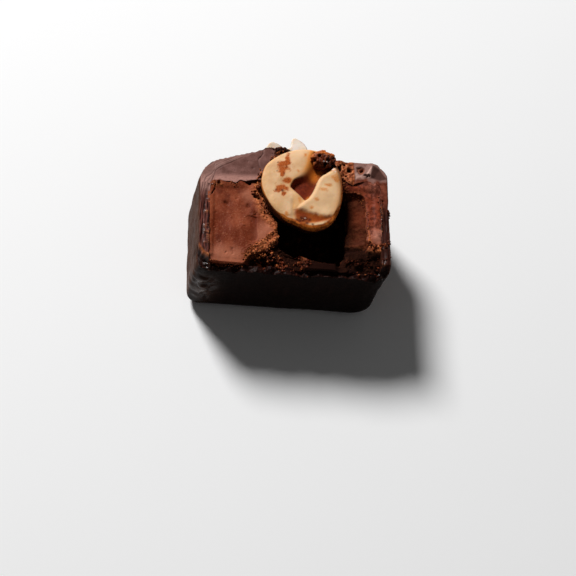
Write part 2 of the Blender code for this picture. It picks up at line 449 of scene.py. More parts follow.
def roundedBlock(low, high, lowRounds, highRounds, step):
    low, high = np.array(low, float), np.array(high, float)
    lows, highs = np.array(lowRounds, float), np.array(highRounds, float)
    bm = gridCube([max(6, round((b - a) / step)) for a, b in zip(low, high)])

    def place(cube):
        spots = np.stack([spread(cube[:, k], low[k], high[k], lows[k], highs[k]) for k in range(3)], axis=1)
        nearest = np.clip(spots, low + lows, high - highs)
        offset = spots - nearest
        radius = np.where(offset < 0, lows, highs)
        share = np.abs(np.where(radius > 0, offset / np.maximum(radius, 1e-9), 0.0))
        length = np.linalg.norm(share, axis=1)
        pull = np.where(length > 1e-9, share.max(axis=1) / np.maximum(length, 1e-9), 1.0)
        return nearest + offset * pull[:, None]

    return bm, place


def wobble(points, size, amount):
    return np.array([noise.noise_vector(Vector(p / size)) for p in points]) * amount


def crownHeight(x, z):
    away = (x - praline["crownX"]) / praline["crownReach"]
    back = (cutZ - z) / (praline["crownReach"] * 1.2)
    dropFrom = praline["leftDropFrom"]
    outer = np.maximum(0.0, -x / halfWidth - dropFrom) / (1 - dropFrom)
    crown = praline["crown"] * np.exp(-away ** 2 - back ** 2)
    return praline["shoulder"] + praline["topSlope"] * x + crown - praline["leftDrop"] * outer ** 2


def fillingTop(x):
    # height of the filling's top along the cut
    return praline["fillingTops"][0] + praline["fillingRise"] * (x + halfWidth - praline["sideWall"])


def outerForm(step):
    low = (-halfWidth, -restHeight, 0.0)
    high = (halfWidth, praline["shoulder"] - restHeight, cutZ)
    bm, place = roundedBlock(low, high, praline["lowRounds"], praline["highRounds"], step)

    def bend(cube):
        points = place(cube)
        x, y, z = points.T
        level = (y + restHeight) / praline["shoulder"]
        push = wobble(points, 6, praline["unevenness"])
        loose = np.clip(z / 3, 0.0, 1.0)
        height = level * crownHeight(x, z) - restHeight
        across = x - praline["skew"] * (cutZ - z) + push[:, 0] * loose
        return np.stack([across, height + push[:, 1] * loose, z], axis=1)

    bendPoints(bm, bend)
    return bm


def pocketForm(step):
    # the space inside the coating that the filling takes
    reach = halfWidth - praline["sideWall"]
    lowTop, highTop = praline["fillingTops"]
    low = (-reach, praline["floorWall"] - restHeight, praline["backWall"])
    high = (reach, lowTop - restHeight, cutZ + 3)
    rounds = praline["fillingRound"]
    bm, place = roundedBlock(low, high, (rounds,) * 3, (rounds, rounds, 0.0), step)

    def bend(cube):
        points = place(cube)
        x, y, z = points.T
        level = (y - low[1]) / (high[1] - low[1])
        across = (x + reach) / (2 * reach)
        points[:, 1] += (highTop - lowTop) * across * level
        points[:, 0] -= praline["skew"] * (cutZ - z)
        return points

    bendPoints(bm, bend)
    return bm


def socketForm():
    # the kernel's place in the praline, open far above the cut
    bm = gridCube((40, 40, 10))
    centre, (rx, ry), gap = kernelForm["centre"], kernelForm["radii"], praline["gap"]

    def bend(cube):
        x, y, z = (cube / np.linalg.norm(cube, axis=1, keepdims=True)).T
        height = np.where(z < 0, -np.abs(z) ** 0.85 * (kernelForm["back"] + gap), 6 * np.clip(z * 3, 0, 1))
        return np.stack([x * (rx + gap), y * (ry + gap), height], axis=1) + centre

    bendPoints(bm, bend)
    return bm


def crag(centre, radii, rough, size):
    # a lump with a broken surface
    bm = bmesh.new()
    bmesh.ops.create_icosphere(bm, subdivisions=4, radius=1.0)

    def bend(ball):
        place = ball * radii
        return centre + place + wobble(place, size, rough)

    bendPoints(bm, bend)
    return bm


def cutAway(piece, tools):
    # take all the tools out of the piece at once, and then remove them
    group = bpy.data.collections.new("cutters")
    for tool in tools:
        group.objects.link(tool)
    modifier = piece.modifiers.new("cut", "BOOLEAN")
    modifier.operation = "DIFFERENCE"
    modifier.solver = "EXACT"
    modifier.operand_type = "COLLECTION"
    modifier.collection = group
    settle(piece)
    for tool in tools:
        bpy.data.objects.remove(tool)
    bpy.data.collections.remove(group)


# The coating

coatingFacts = {
    "steps": (0.55, 0.7),  # mesh size of its outside, and of the pocket for the filling
    "voxel": 0.30,
    "cuts": 2,  # the cut face's mesh is this much finer
    "fineDepth": 0.9,  # down to here
    "notch": ((-1.75, 22.95, 0.3), (1.9, 1.15, 1.1)),  # where, and how large
    "notchRough": (0.5, 1.3),  # how far its lumps stand out, and how large they are
    "notchShade": ((-3.5, 22.3), (-2.95, 23.3), (-1.8, 24.3), (-0.2, 24.2), (0.6, 23.6), (-0.6, 22.9),
                   (-1.7, 22.5), (-2.8, 21.7)),
    "leftSwell": 0.46,  # the left wall leans this much over the filling
    "topSwell": 0.34,
    "crownLip": 0.92,  # the crown's edge stands this much higher in front of the nut chips
    "chipBank": 0.6,  # and this much higher where the chips stand in it
    "footDrop": 1.9,  # under the filling the wall has broken off this much lower
    "footLine": ((-16.2, 4.6), (-15.55, 3.6), (-14.9, 2.5), (-14.2, 1.65), (-13.2, 1.4)),  # its edge at the left
    "groove": ((-15.15, 4.0), (-15.1, 9.0), (-14.85, 13.0), (-14.5, 15.8), (-14.05, 16.8), (-13.0, 18.3),
               (-11.7, 19.3), (-10.2, 20.2), (-8.8, 21.0)),
    # the lines along it: how far outside, how wide, how deep
    "grooveLines": ((0.0, 0.10, 0.10), (0.34, 0.06, 0.05), (0.68, 0.07, 0.06)),
    "crack": ((-5.26, 22.9), (-5.54, 21.6), (-6.15, 20.7), (-6.1, 19.8), (-5.8, 19.0), (-5.5, 17.6)),
    "feather": ((-11.4, 18.9), (-9.1, 20.4)),
    "dots": ((-7.86, 20.36, 0.14, 0.10), (-7.02, 19.07, 0.2, 0.10), (-13.8, 18.15, 0.12, 0.10),
             (-10.0, 18.3, 0.1, 0.10)),
    "holes": ((7.62, 20.25, 0.30, 0.62), (9.30, 20.15, 0.42, 0.42), (8.35, 17.5, 0.25, 0.22),
              (7.5, 19.1, 0.16, 0.2), (8.1, 18.2, 0.14, 0.16), (8.6, 19.0, 0.13, 0.12), (9.1, 17.6, 0.15, 0.12),
              (11.44, 20.25, 0.30, 0.32), (12.2, 19.1, 0.5, 0.14), (8.3, 21.1, 0.2, 0.14)),
    "ring": ((10.35, 20.6), (11.0, 21.05), (11.9, 20.85), (12.05, 19.9), (11.45, 19.3), (10.65, 19.6)),
    "ridge": ((12.15, 19.0), (12.7, 20.1), (13.3, 21.2)),
    "rightSplit": ((9.99, 21.9), (10.06, 20.6), (10.12, 19.5), (10.02, 17.8), (8.8, 16.3)),
    "wedge": ((11.9, 19.1), (13.15, 21.3), (13.6, 21.1), (12.6, 19.0)),  # the lit side of the ridge
    "plate": ((10.05, 19.75), (11.95, 18.95), (12.1, 18.5), (10.1, 18.35)),  # the lit plate under the ring
    # the facet is the ridge's side away from the light, which gets painted shade
    "facet": ((13.1, 21.3), (14.5, 20.6), (15.6, 18.9), (14.5, 18.5), (12.8, 18.9)),  # the ridge's dark side
}


def coatingRelief(points):
    # how far the cut face stands out at each point, and its masks
    x, h, d = fromCut(points)
    facts = coatingFacts
    left = 1 - ramp(x, -5.0, -4.0)
    right = ramp(x, 6.0, 7.0)
    top = ramp(h, 15.6, 16.6)
    onCut = ramp(d, -1.0, -0.1)
    height = 0.08 * clouds(points, 2.6, 3, 2) + 0.02 * clouds(points, 0.6, 5, 3)
    # the outer band and the lines in it
    groove = offCurve(x, h, facts["groove"]) + 0.07 * clouds(points, 1.2, 7, 2)
    height -= left * top * 0.26 * ramp(groove, 0.1, 1.1)
    lines = np.zeros(len(x))
    for away, width, depth in facts["grooveLines"]:
        line = left * bell(groove, away, width) * (0.65 + 0.5 * clouds(points, 1.5, 9, 2))
        height -= depth * line
        lines = np.maximum(lines, line)
    # the knife's faint feather marks
    a, b = (np.array(p) for p in facts["feather"])
    run = (b - a) / np.linalg.norm(b - a)
    s = (x - a[0]) * run[0] + (h - a[1]) * run[1]
    q = -(x - a[0]) * run[1] + (h - a[1]) * run[0]
    inFeather = ramp(s, -0.1, 0.3) * (1 - ramp(s, 2.3, 2.8)) * (1 - ramp(np.abs(q), 0.45, 0.75))
    height += 0.025 * inFeather * np.sin((s - 0.9 * np.abs(q)) * 2 * math.pi / 0.34)
    crack = offCurve(x, h, facts["crack"]) + 0.08 * clouds(points, 0.5, 8, 2)
    cracked = left * top * bell(crack, 0.0, 0.07) * (0.6 + 0.6 * clouds(points, 0.9, 10, 2))
    height += left * top * 0.10 * ramp(crack, 0.0, 0.25) - 0.14 * cracked
    height -= bumps(x, h, facts["dots"])
    # the bubbly lump and the plates at the kernel's right
    split = offCurve(x, h, facts["rightSplit"])
    lump = right * (1 - ramp(split, -0.15, 0.15)) * top
    plates = right * ramp(split, -0.15, 0.15) * top
    height += lump * 0.16 * clouds(points, 1.5, 33, 3)
    height += onlyWhere(lump * onCut, crumble, points, 0.55, 31) * 0.15
    warped = points + 0.18 * np.stack([clouds(points, 0.5, k, 2) for k in (35, 36, 37)], axis=1)
    wx, wh, _ = fromCut(warped)
    ring = withinCurve(wx, wh, facts["ring"])
    ringEdge = plates * bell(ring, -0.05, 0.13)
    height += 0.07 * ringEdge - plates * 0.20 * ramp(ring, 0.0, 0.3)
    ridge = offCurve(x, h, facts["ridge"])
    tent = np.where(ridge > 0, 0.42 - 0.42 * ridge, 0.42 + 0.34 * ridge)
    height += plates * np.maximum(tent, 0.0) * ramp(h, 18.6, 19.3)
    hole = right * spots(wx, wh, facts["holes"], 4)
    height -= 0.85 * hole
    # the thin walls beside the filling are streaky, with beads along their inner edge
    wall = 1 - ramp(h + 0.5 * clouds(points, 1.5, 34, 2), 11.8, 15.2)
    streaks = clouds(points * (1.0, 0.14, 1.0), 0.5, 25, 3)
    beaded = wall * onCut * bell(np.abs(x), 14.45, 0.45) * ramp(clouds(points, 1.4, 26, 2), -0.35, 0.25)
    height += wall * (0.09 * streaks + 0.10 * clouds(points * (1.0, 0.5, 1.0), 1.8, 27, 2))
    height += onlyWhere(beaded, crumble, points, 0.34, 24) * 0.12
    # under the filling the wall has broken off lower
    footLine = offLine(x, h, np.array(facts["footLine"])) + 0.12 * clouds(points, 0.7, 39, 2)
    atLeft = 1 - ramp(x, -14.0, -13.2)
    foot = (1 - atLeft) * (1 - ramp(h, 1.5, 2.6)) + atLeft * (1 - ramp(footLine, -0.5, 0.2))
    drop = facts["footDrop"] * foot * (0.85 + 0.35 * clouds(points, 2.2, 28, 3))
    rough = onlyWhere(foot * ramp(d, -2.5, -1.0), crumble, points, 0.5, 29)
    lift = onCut * height - ramp(d, -5.0, 0.0) * drop + 0.14 * rough

    broad = 1 - wall
    masks = {
        "wall": wall,
        "foot": (1 - atLeft) * (1 - ramp(h, 1.6, 3.2)) + atLeft * (1 - ramp(footLine, -0.15, 0.05)),
        "footEdge": atLeft * bell(footLine, 0.10, 0.14),
        "blistered": lump,
        "rimBandHighlight": ramp(groove, 0.0, 0.15) * (1 - ramp(x, -6.0, -5.0)) * (0.35 + 0.65 * broad),
        "lines": lines * (0.4 + 0.6 * broad),
        "lip": (1 - ramp(h - fillingTop(x), 0.3, 1.5)) * broad * left,
        "cracked": cracked,
        "plateLight": right * np.maximum(ramp(within(x, h, facts["wedge"]), -0.12, 0.12),
                                         0.7 * ramp(within(x, h, facts["plate"]), -0.2, 0.2)),
        "facetShade": right * ramp(within(x, h, facts["facet"]), -0.2, 0.15),
        "rightPaste": ramp(x, 9.2, 10.2) * (1 - ramp(h + 0.3 * clouds(points, 1.0, 30, 2), 18.1, 18.7)),
        "hole": hole,
        "beads": beaded,
        "rightWallShade": wall * ramp(x, 12.8, 14.2),
        "plates": plates,
        "ringInside": plates * ramp(ring, 0.05, 0.25),
        "notchShade": ramp(within(x, h, facts["notchShade"]) + 0.15 * clouds(points, 0.6, 38, 3), -0.15, 0.2),
    }
    return lift, masks


def makeCoating():
    outerStep, pocketStep = coatingFacts["steps"]
    piece = newPiece("praline_coating", outerForm(outerStep))
    centre, radii = coatingFacts["notch"]
    place = np.array((centre[0], centre[1] - restHeight, centre[2] + cutZ))
    cutAway(piece, [newPiece("pocket", pocketForm(pocketStep)), newPiece("socket", socketForm()),
                    newPiece("notch", crag(place, radii, *coatingFacts["notchRough"]))])
    remesh(piece, coatingFacts["voxel"])
    relax(piece, 1)
    refine(piece, coatingFacts["fineDepth"], coatingFacts["cuts"])
    relax(piece, 2)
    points, normals = readPoints(piece), readNormals(piece)
    x, h, d = fromCut(points)
    section = ramp(normals[:, 2], 0.5, 0.8) * ramp(d, -0.6, -0.35)
    inner = np.minimum(np.minimum(halfWidth - 1.0 - np.abs(x - praline["skew"] * d), h - 0.9),
                       np.minimum(crownHeight(x, points[:, 2]) - 0.8 - h, points[:, 2] - 1.0))
    inside = ramp(inner, 0.0, 0.4) * (1 - section)
    outside = (1 - section) * (1 - inside)
    lift, masks = coatingRelief(points)
    points[:, 2] += lift
    # the coating clings to the filling at its left and its top
    shift = praline["skew"] * d
    leaning = ramp(x - shift, -15.0, -14.3) * (1 - ramp(x - shift, -14.0, -13.2)) * (1 - outside)
    points[:, 0] += coatingFacts["leftSwell"] * leaning
    overFilling = h - fillingTop(x)
    sideOfNut = 1 - ramp(x, -7.5, -6.0) + ramp(x, 8.5, 9.5)
    clinging = sideOfNut * (1 - ramp(overFilling, 0.0, 0.8)) * ramp(overFilling, -0.5, -0.2) * (1 - outside)
    points[:, 1] -= coatingFacts["topSwell"] * clinging * (1 + 1.2 * clouds(points, 1.4, 46, 2))
    # outside, the coating has set in soft waves and runs, and it is pinched at the left foot
    waves = 0.10 * clouds(points, 4.5, 41, 2) + 0.05 * clouds(points * (1.0, 1.0, 0.35), 1.6, 42, 2)
    runs = 0.04 * clouds(points * (1.0, 0.2, 1.0), 0.9, 43, 2) * (1 - ramp(np.abs(normals[:, 1]), 0.5, 0.8))
    footCorner = np.exp(-((x + 14.2) / 1.9) ** 2 - ((d + 7.5) / 3.8) ** 2) * (1 - ramp(h, 1.5, 4.0))
    folds = 1.0 * np.abs(clouds(points * (1.0, 1.0, 1.4), 2.2, 45, 2)) - 0.3
    loose = outside * ramp(points[:, 2], 0.3, 2.5)
    crownLip = coatingFacts["crownLip"] * bell(x, -2.3, 2.5) * bell(d, -0.6, 1.0)
    crownLip = np.maximum(crownLip, coatingFacts["chipBank"] * bell(x, -1.0, 4.0) ** 0.5 * bell(d, -2.9, 1.3))
    crownLip *= ramp(normals[:, 1], 0.2, 0.7) * (1 + 0.5 * clouds(points, 0.9, 44, 3))
    points += normals * (loose * (waves + runs + footCorner * folds + crownLip))[:, None]
    points += normals * (inside * 0.12 * clouds(points, 0.9, 47, 2))[:, None]
    # broken faces of the notch
    notched = inside * ramp(h, 20.0, 21.0) * (1 - ramp(x, 2.0, 3.0))
    points += normals * (0.22 * onlyWhere(notched, crumble, points, 0.6, 48))[:, None]
    writePoints(piece, points)
    standing = crests(piece, 0.05)
    writeMask(piece, "section", section)
    writeMask(piece, "crest", standing * np.clip(section * (masks["blistered"] + masks["beads"]) + notched, 0, 1))
    writeMask(piece, "valleyShade", -standing * (0.35 + 0.65 * np.clip(masks["blistered"] + masks["wall"], 0, 1)))
    writeMask(piece, "inside", inside)
    writeMask(piece, "notched", notched)
    writeMask(piece, "glossy", outside * footCorner)
    writeMask(piece, "under", outside * ramp(-normals[:, 1], 0.3, 0.8) * (1 - 0.8 * footCorner))
    nearCut = ramp(d, -2.6, -1.2)
    for name, values in masks.items():
        writeMask(piece, name, values * (nearCut if name in ("hole", "notchShade") else section))
    return piece


def coatingMaterial():
    material, tree, shader = newMaterial("dark_chocolate_coating", {
        "Specular IOR Level": 0.05, "IOR": 1.46, "Subsurface Weight": 0.0,
        "Coat Roughness": 0.24, "Coat IOR": 1.45})
    dark = shades(tree, (0.038, 0.013, 0.005), (0.072, 0.023, 0.009), 2.6, 3.0, (0.25, 0.75),
                  stretch=(1.0, 1.6, 1.0))
    # the cut face's mauve is partly its own colour and partly a painted sheen; the plates are painted paler still, a
    # painted sheen on their smooth facets
    mauveAndSheen = paint(tree, shades(tree, (0.140, 0.060, 0.048), (0.232, 0.110, 0.092), 1.6), (
        ("lip", 0.85, (0.50, 0.250, 0.205)),
        # painted highlight along the outer band
        ("rimBandHighlight", 0.55, (0.31, 0.168, 0.140)),
        ("lines", 0.85, (0.045, 0.015, 0.012)),
        ("plates", 0.6, (0.34, 0.185, 0.150)),
        ("plateLight", 0.9, (0.66, 0.40, 0.33)),
        # painted shade on the ridge's shaded facet
        ("facetShade", 0.9, (0.062, 0.024, 0.018)),
        ("ringInside", 0.75, (0.30, 0.085, 0.035)),
        ("cracked", 0.85, (0.022, 0.008, 0.006))))
    mauveAndSheen = blend(tree, patches(tree, 0.22, (0.5, 0.72), 0.4), mauveAndSheen, (0.085, 0.034, 0.027))
    paste = shades(tree, (0.105, 0.022, 0.011), (0.225, 0.060, 0.032), 0.8)
    mauveAndSheen = blend(tree, mask(tree, "rightPaste"), mauveAndSheen, paste)
    torn = shades(tree, (0.130, 0.024, 0.009), (0.460, 0.120, 0.042), 0.45, limits=(0.35, 0.68))
    wall = shades(tree, (0.016, 0.003, 0.002), (0.145, 0.040, 0.029), 0.30, limits=(0.38, 0.64),
                  stretch=(1.0, 9.0, 1.0))
    # painted shade on the right wall, which faces away from the light
    wall = paint(tree, wall, (("rightWallShade", 0.75, (0.022, 0.006, 0.004)),))
    colour = paint(tree, blend(tree, mask(tree, "section"), dark, mauveAndSheen), (
        ("blistered", 1.0, torn),
        ("wall", 1.0, wall),
        # painted highlight on the crests of the blisters, the beads and the notch
        ("crest", patches(tree, 0.6, (0.35, 0.6), 0.85), (0.60, 0.215, 0.090)),
        # painted shade inside the pocket
        ("inside", 0.8, (0.030, 0.008, 0.005)),
        # painted shade on the notch's broken faces
        ("notched", 0.6, (0.050, 0.012, 0.006)),
        ("notchShade", 0.9, (0.014, 0.004, 0.003)),
        # painted shade on the wall where it has broken off under the filling
        ("foot", 0.9, (0.007, 0.002, 0.0015)),
        ("footEdge", 0.7, (0.420, 0.120, 0.040)),
        # painted shade on the base side, which faces away from the light
        ("under", 0.95, (0.003, 0.0012, 0.001)),
        # painted shade in the hollows between lumps
        ("valleyShade", 0.75, (0.018, 0.006, 0.004)),
        # painted shade in the holes
        ("hole", 0.95, (0.006, 0.002, 0.0015))))
    shine = plus(tree, times(tree, mask(tree, "glossy"), 0.8), times(tree, mask(tree, "beads"), 0.5))
    outerRough = between(tree, speckle(tree, 0.9, 4.0), 0.3, 0.75, (0.50, 0.66))
    cutRough = between(tree, speckle(tree, 0.5, 4.0), 0.3, 0.75, (0.34, 0.52))
    rough = towards(tree, "section", outerRough, cutRough)
    plug(tree, shader, {"Base Color": colour, "Coat Weight": shine, "Roughness": rough})
    relief(tree, shader, plus(tree, speckle(tree, 0.25, 4.0), times(tree, speckle(tree, 0.06), 0.4)), 0.045, 0.7)
    return material


# The filling

fillingFacts = {
    "voxel": 0.26,
    "cuts": 2,
    "fineDepth": 2.0,
    "pits": ((-11.25, 12.1, 0.35, 0.20), (-7.75, 11.9, 0.30, 0.20), (-6.5, 10.4, 0.30, 0.30),
             (-12.2, 4.9, 0.20, 0.12), (-11.18, 3.0, 0.22, 0.15), (-10.2, 3.8, 0.22, 0.15),
             (-10.15, 2.8, 0.2, 0.12), (-7.15, 9.1, 0.14, 0.10), (-12.9, 10.2, 0.15, 0.08),
             (-9.6, 13.1, 0.18, 0.10)),
    "flecks": ((-13.1, 7.5, 0.13, 0.10), (-10.5, 9.6, 0.12, 0.10), (-8.45, 8.25, 0.18, 0.12),
               (-8.8, 8.6, 0.12, 0.10), (-10.45, 7.0, 0.12, 0.08), (-6.2, 15.3, 0.3, 0.25)),
    "patch": ((-6.22, 9.8), (-6.15, 7.6), (-6.12, 5.75), (-7.3, 5.3), (-8.1, 5.9), (-8.9, 7.6), (-8.0, 10.0)),
    "tornLine": ((-2.2, 9.0), (-3.1, 8.35), (-4.15, 7.2), (-5.1, 6.1), (-6.0, 5.3), (-7.0, 4.7), (-7.9, 3.9),
                 (-8.4, 3.0), (-8.6, 0.6)),
    "cornerCrack": ((-13.1, 15.8), (-13.3, 14.5), (-13.75, 13.6)),
    "topHoles": ((-12.7, 15.75, 0.30, 0.17), (-10.6, 16.35, 0.34, 0.12), (-7.6, 16.35, 0.55, 0.35),
                 (-6.6, 16.6, 0.6, 0.5), (-6.5, 13.9, 0.35, 0.30), (-5.9, 13.5, 0.30, 0.25)),
    "stepLine": ((10.9, 15.3), (11.45, 14.0), (12.0, 12.9), (12.25, 11.8), (12.2, 9.0), (12.2, 6.0), (12.3, 5.2)),
    "ridgeLine": ((12.2, 6.9), (12.7, 6.0), (13.6, 5.6), (14.6, 6.2), (15.0, 6.7)),
    "stepWarp": 0.28,
    "sideSwells": (0.32, 0.55),  # it sticks to the coating, at the left and at the right
    "warmSheenSpots": ((-4.6, 7.9, 1.5), (-5.6, 6.7, 1.3), (-12.0, 2.6, 1.9), (-10.0, 2.6, 1.6), (-7.6, 14.0, 1.2)),
    "blotches": ((-11.3, 12.5, 0.9), (-11.0, 13.6, 0.8), (-7.9, 12.1, 0.9), (-7.2, 10.2, 0.8), (-9.6, 14.9, 1.0),
                 (-12.6, 5.6, 0.7), (-10.2, 3.6, 0.5), (-12.4, 14.4, 0.7), (9.2, 17.0, 0.7), (12.7, 13.2, 0.7),
                 (12.9, 11.0, 0.6), (14.0, 12.6, 0.6), (14.2, 16.4, 0.6), (13.0, 15.6, 0.5), (9.6, 9.9, 0.9)),
}


def fillingRelief(points):
    # how far the cut face stands out at each point, and its masks
    x, h, d = fromCut(points)
    facts = fillingFacts
    near = ramp(d, -2.2, -1.0)
    left = 1 - ramp(x, 1.0, 2.0)
    right = ramp(x, 6.5, 7.5)
    fromTop = fillingTop(x) - h
    height = 0.12 * clouds(points, 3.4, 51, 2) + 0.03 * clouds(points * (1.0, 0.5, 1.0), 1.3, 52, 2)
    height += 0.012 * clouds(points, 0.35, 53, 3)
    # the left block rolls off at its lower edge and sinks a little under the coating's lip
    height -= left * 0.30 * np.exp(-(h - 1.4) / 0.9)
    overhang = 0.5 * ramp(x, -12.9, -12.2) * (1 - ramp(x, -11.4, -10.6)) + ramp(x, -8.9, -7.0)
    height -= left * overhang * 0.34 * bell(fromTop, 0.1, 0.35) * (0.8 + 0.7 * clouds(points, 1.0, 54, 2))
    shadow = left * overhang * bell(fromTop, 0.15, 0.45)
    warp = 0.15 * clouds(points, 0.4, 68, 2)
    topHole = spots(x + warp, h - warp, facts["topHoles"], 4)
    height -= 0.55 * topHole
    patch = withinCurve(x, h, facts["patch"])
    across = ramp(x, -8.8, -6.3)
    height -= 0.22 * ramp(patch, -0.04, 0.16) * across
    # beyond this line the paste has torn away in crumbs
    torn = offCurve(x, h, facts["tornLine"]) + 0.25 * clouds(points, 1.1, 66, 3)
    beyond = left * np.maximum(torn, 0.0)
    onBand = ramp(beyond, 0.0, 0.25)
    lip = left * (1 - ramp(x, -6.2, -5.2)) * (0.5 + 0.8 * clouds(points, 1.2, 69, 2))
    height += np.maximum(lip, 0) * (0.07 * bell(torn, -0.12, 0.11) + 0.05 * bell(torn, -0.52, 0.10))
    height -= onBand * (0.05 + 0.12 * np.minimum(beyond, 1.6) + 0.9 * ramp(beyond, 1.5, 2.8))
    cavityShade = np.maximum(left * ramp(beyond + 0.3 * clouds(points, 0.8, 70, 2), 1.3, 2.3),
                       ramp(x, -8.3, -6.8) * (1 - ramp(h + 0.4 * clouds(points, 1.0, 75, 2), 2.5, 3.8)))
    fringe = left * (1 - ramp(h + 0.25 * clouds(points, 0.7, 67, 2), 1.3, 1.8))
    crack = offCurve(x, h, facts["cornerCrack"]) + 0.08 * clouds(points, 0.3, 65, 2)
    cracked = bell(crack, 0.0, 0.08)
    height -= 0.3 * cracked
    corner = 0.4 * dab(x, h, -13.9, 15.9, 0.9, 4)
    crumbly = left * bell(fromTop, 0.75, 0.45) * ramp(clouds(points, 1.5, 55, 2), -0.2, 0.3)
    height += bumps(x + warp, h - warp, facts["flecks"]) - bumps(x + warp, h - warp, facts["pits"])
    (nutX, nutH), (nutWide, nutTall) = kernelForm["seat"]
    byNut = left * bell(np.hypot((x - nutX) / nutWide, (h - nutH) / nutTall), 1.08, 0.09)
    # right of the kernel
    step = offCurve(x, h, facts["stepLine"])
    raised = right * ramp(step, -0.1, 0.15)
    height += right * (0.20 * clouds(points * (0.6, 1.0, 1.0), 2.4, 71, 3) + 0.02 * clouds(points, 0.4, 72, 2))
    height += right * 0.26 * ramp(h, 15.9, 16.9)
    stepEdge = right * bell(step, 0.10, 0.14) * ramp(h, 5.0, 6.0) * (1 - ramp(h, 8.5, 10.0))
    rim = right * bell(h, 15.75, 0.35) * (1 - ramp(x, 11.0, 11.8))
    low = right * (1 - ramp(h + 0.5 * clouds(points, 1.2, 74, 2), 4.6, 5.8))
    # left of the ridge the step runs out downwards into the dark
    runOut = right * (1 - ramp(x, 11.7, 12.4)) * (1 - ramp(h + 0.3 * clouds(points, 1.0, 78, 2), 5.7, 7.2))
    ridge = right * bell(offCurve(x, h, facts["ridgeLine"]) + 0.2 * clouds(points, 0.7, 76, 2), 0.0, 0.45)
    ridge *= ramp(x, 11.9, 12.5)
    height -= np.maximum(low * (0.10 + 0.75 * ramp(5.2 - h, 0.0, 2.4)), 0.95 * runOut)
    broken = np.clip(onBand + 0.9 * fringe + 0.7 * corner + byNut + 0.6 * low + ridge + 0.45 * crumbly
                     + stepEdge + rim, 0, 1)
    height += 0.13 * onlyWhere(broken * near, crumble, points, 0.50, 61)
    height += 0.07 * onlyWhere(broken * near, crumble, points, 0.27, 62)
    height += 0.14 * broken * clouds(points, 1.6, 63, 3)
    blotch = spots(x + warp, h - warp, facts["blotches"], 2)
    masks = {
        "torn": np.clip(onBand + fringe + 0.7 * corner + byNut + low + ridge + 0.35 * crumbly
                        + 0.8 * stepEdge + 0.8 * rim, 0, 1),
        "cavityShade": np.maximum(cavityShade, np.maximum(low, runOut) * (1 - ridge)),
        "blotch": blotch * (0.8 + 0.6 * clouds(points, 0.7, 77, 3)),
        "patch": ramp(patch, -0.1, 0.1) * across,
        "edgeStrip": left * bell(x, -14.25, 0.30) * ramp(h, 1.5, 3.0),
        "hole": np.maximum(np.maximum(topHole, 0.8 * cracked), 0.85 * shadow),
        "warmSheen": spots(x, h, facts["warmSheenSpots"], 3) * left,
        "rightSide": right,
        "raised": raised,
        "sheen": right * (dab(x, h, 13.9, 7.7, 1.5) + 0.5 * dab(x, h, 13.2, 17.2, 1.2)),
    }
    return ramp(d, -1.5, -0.45) * height, masks


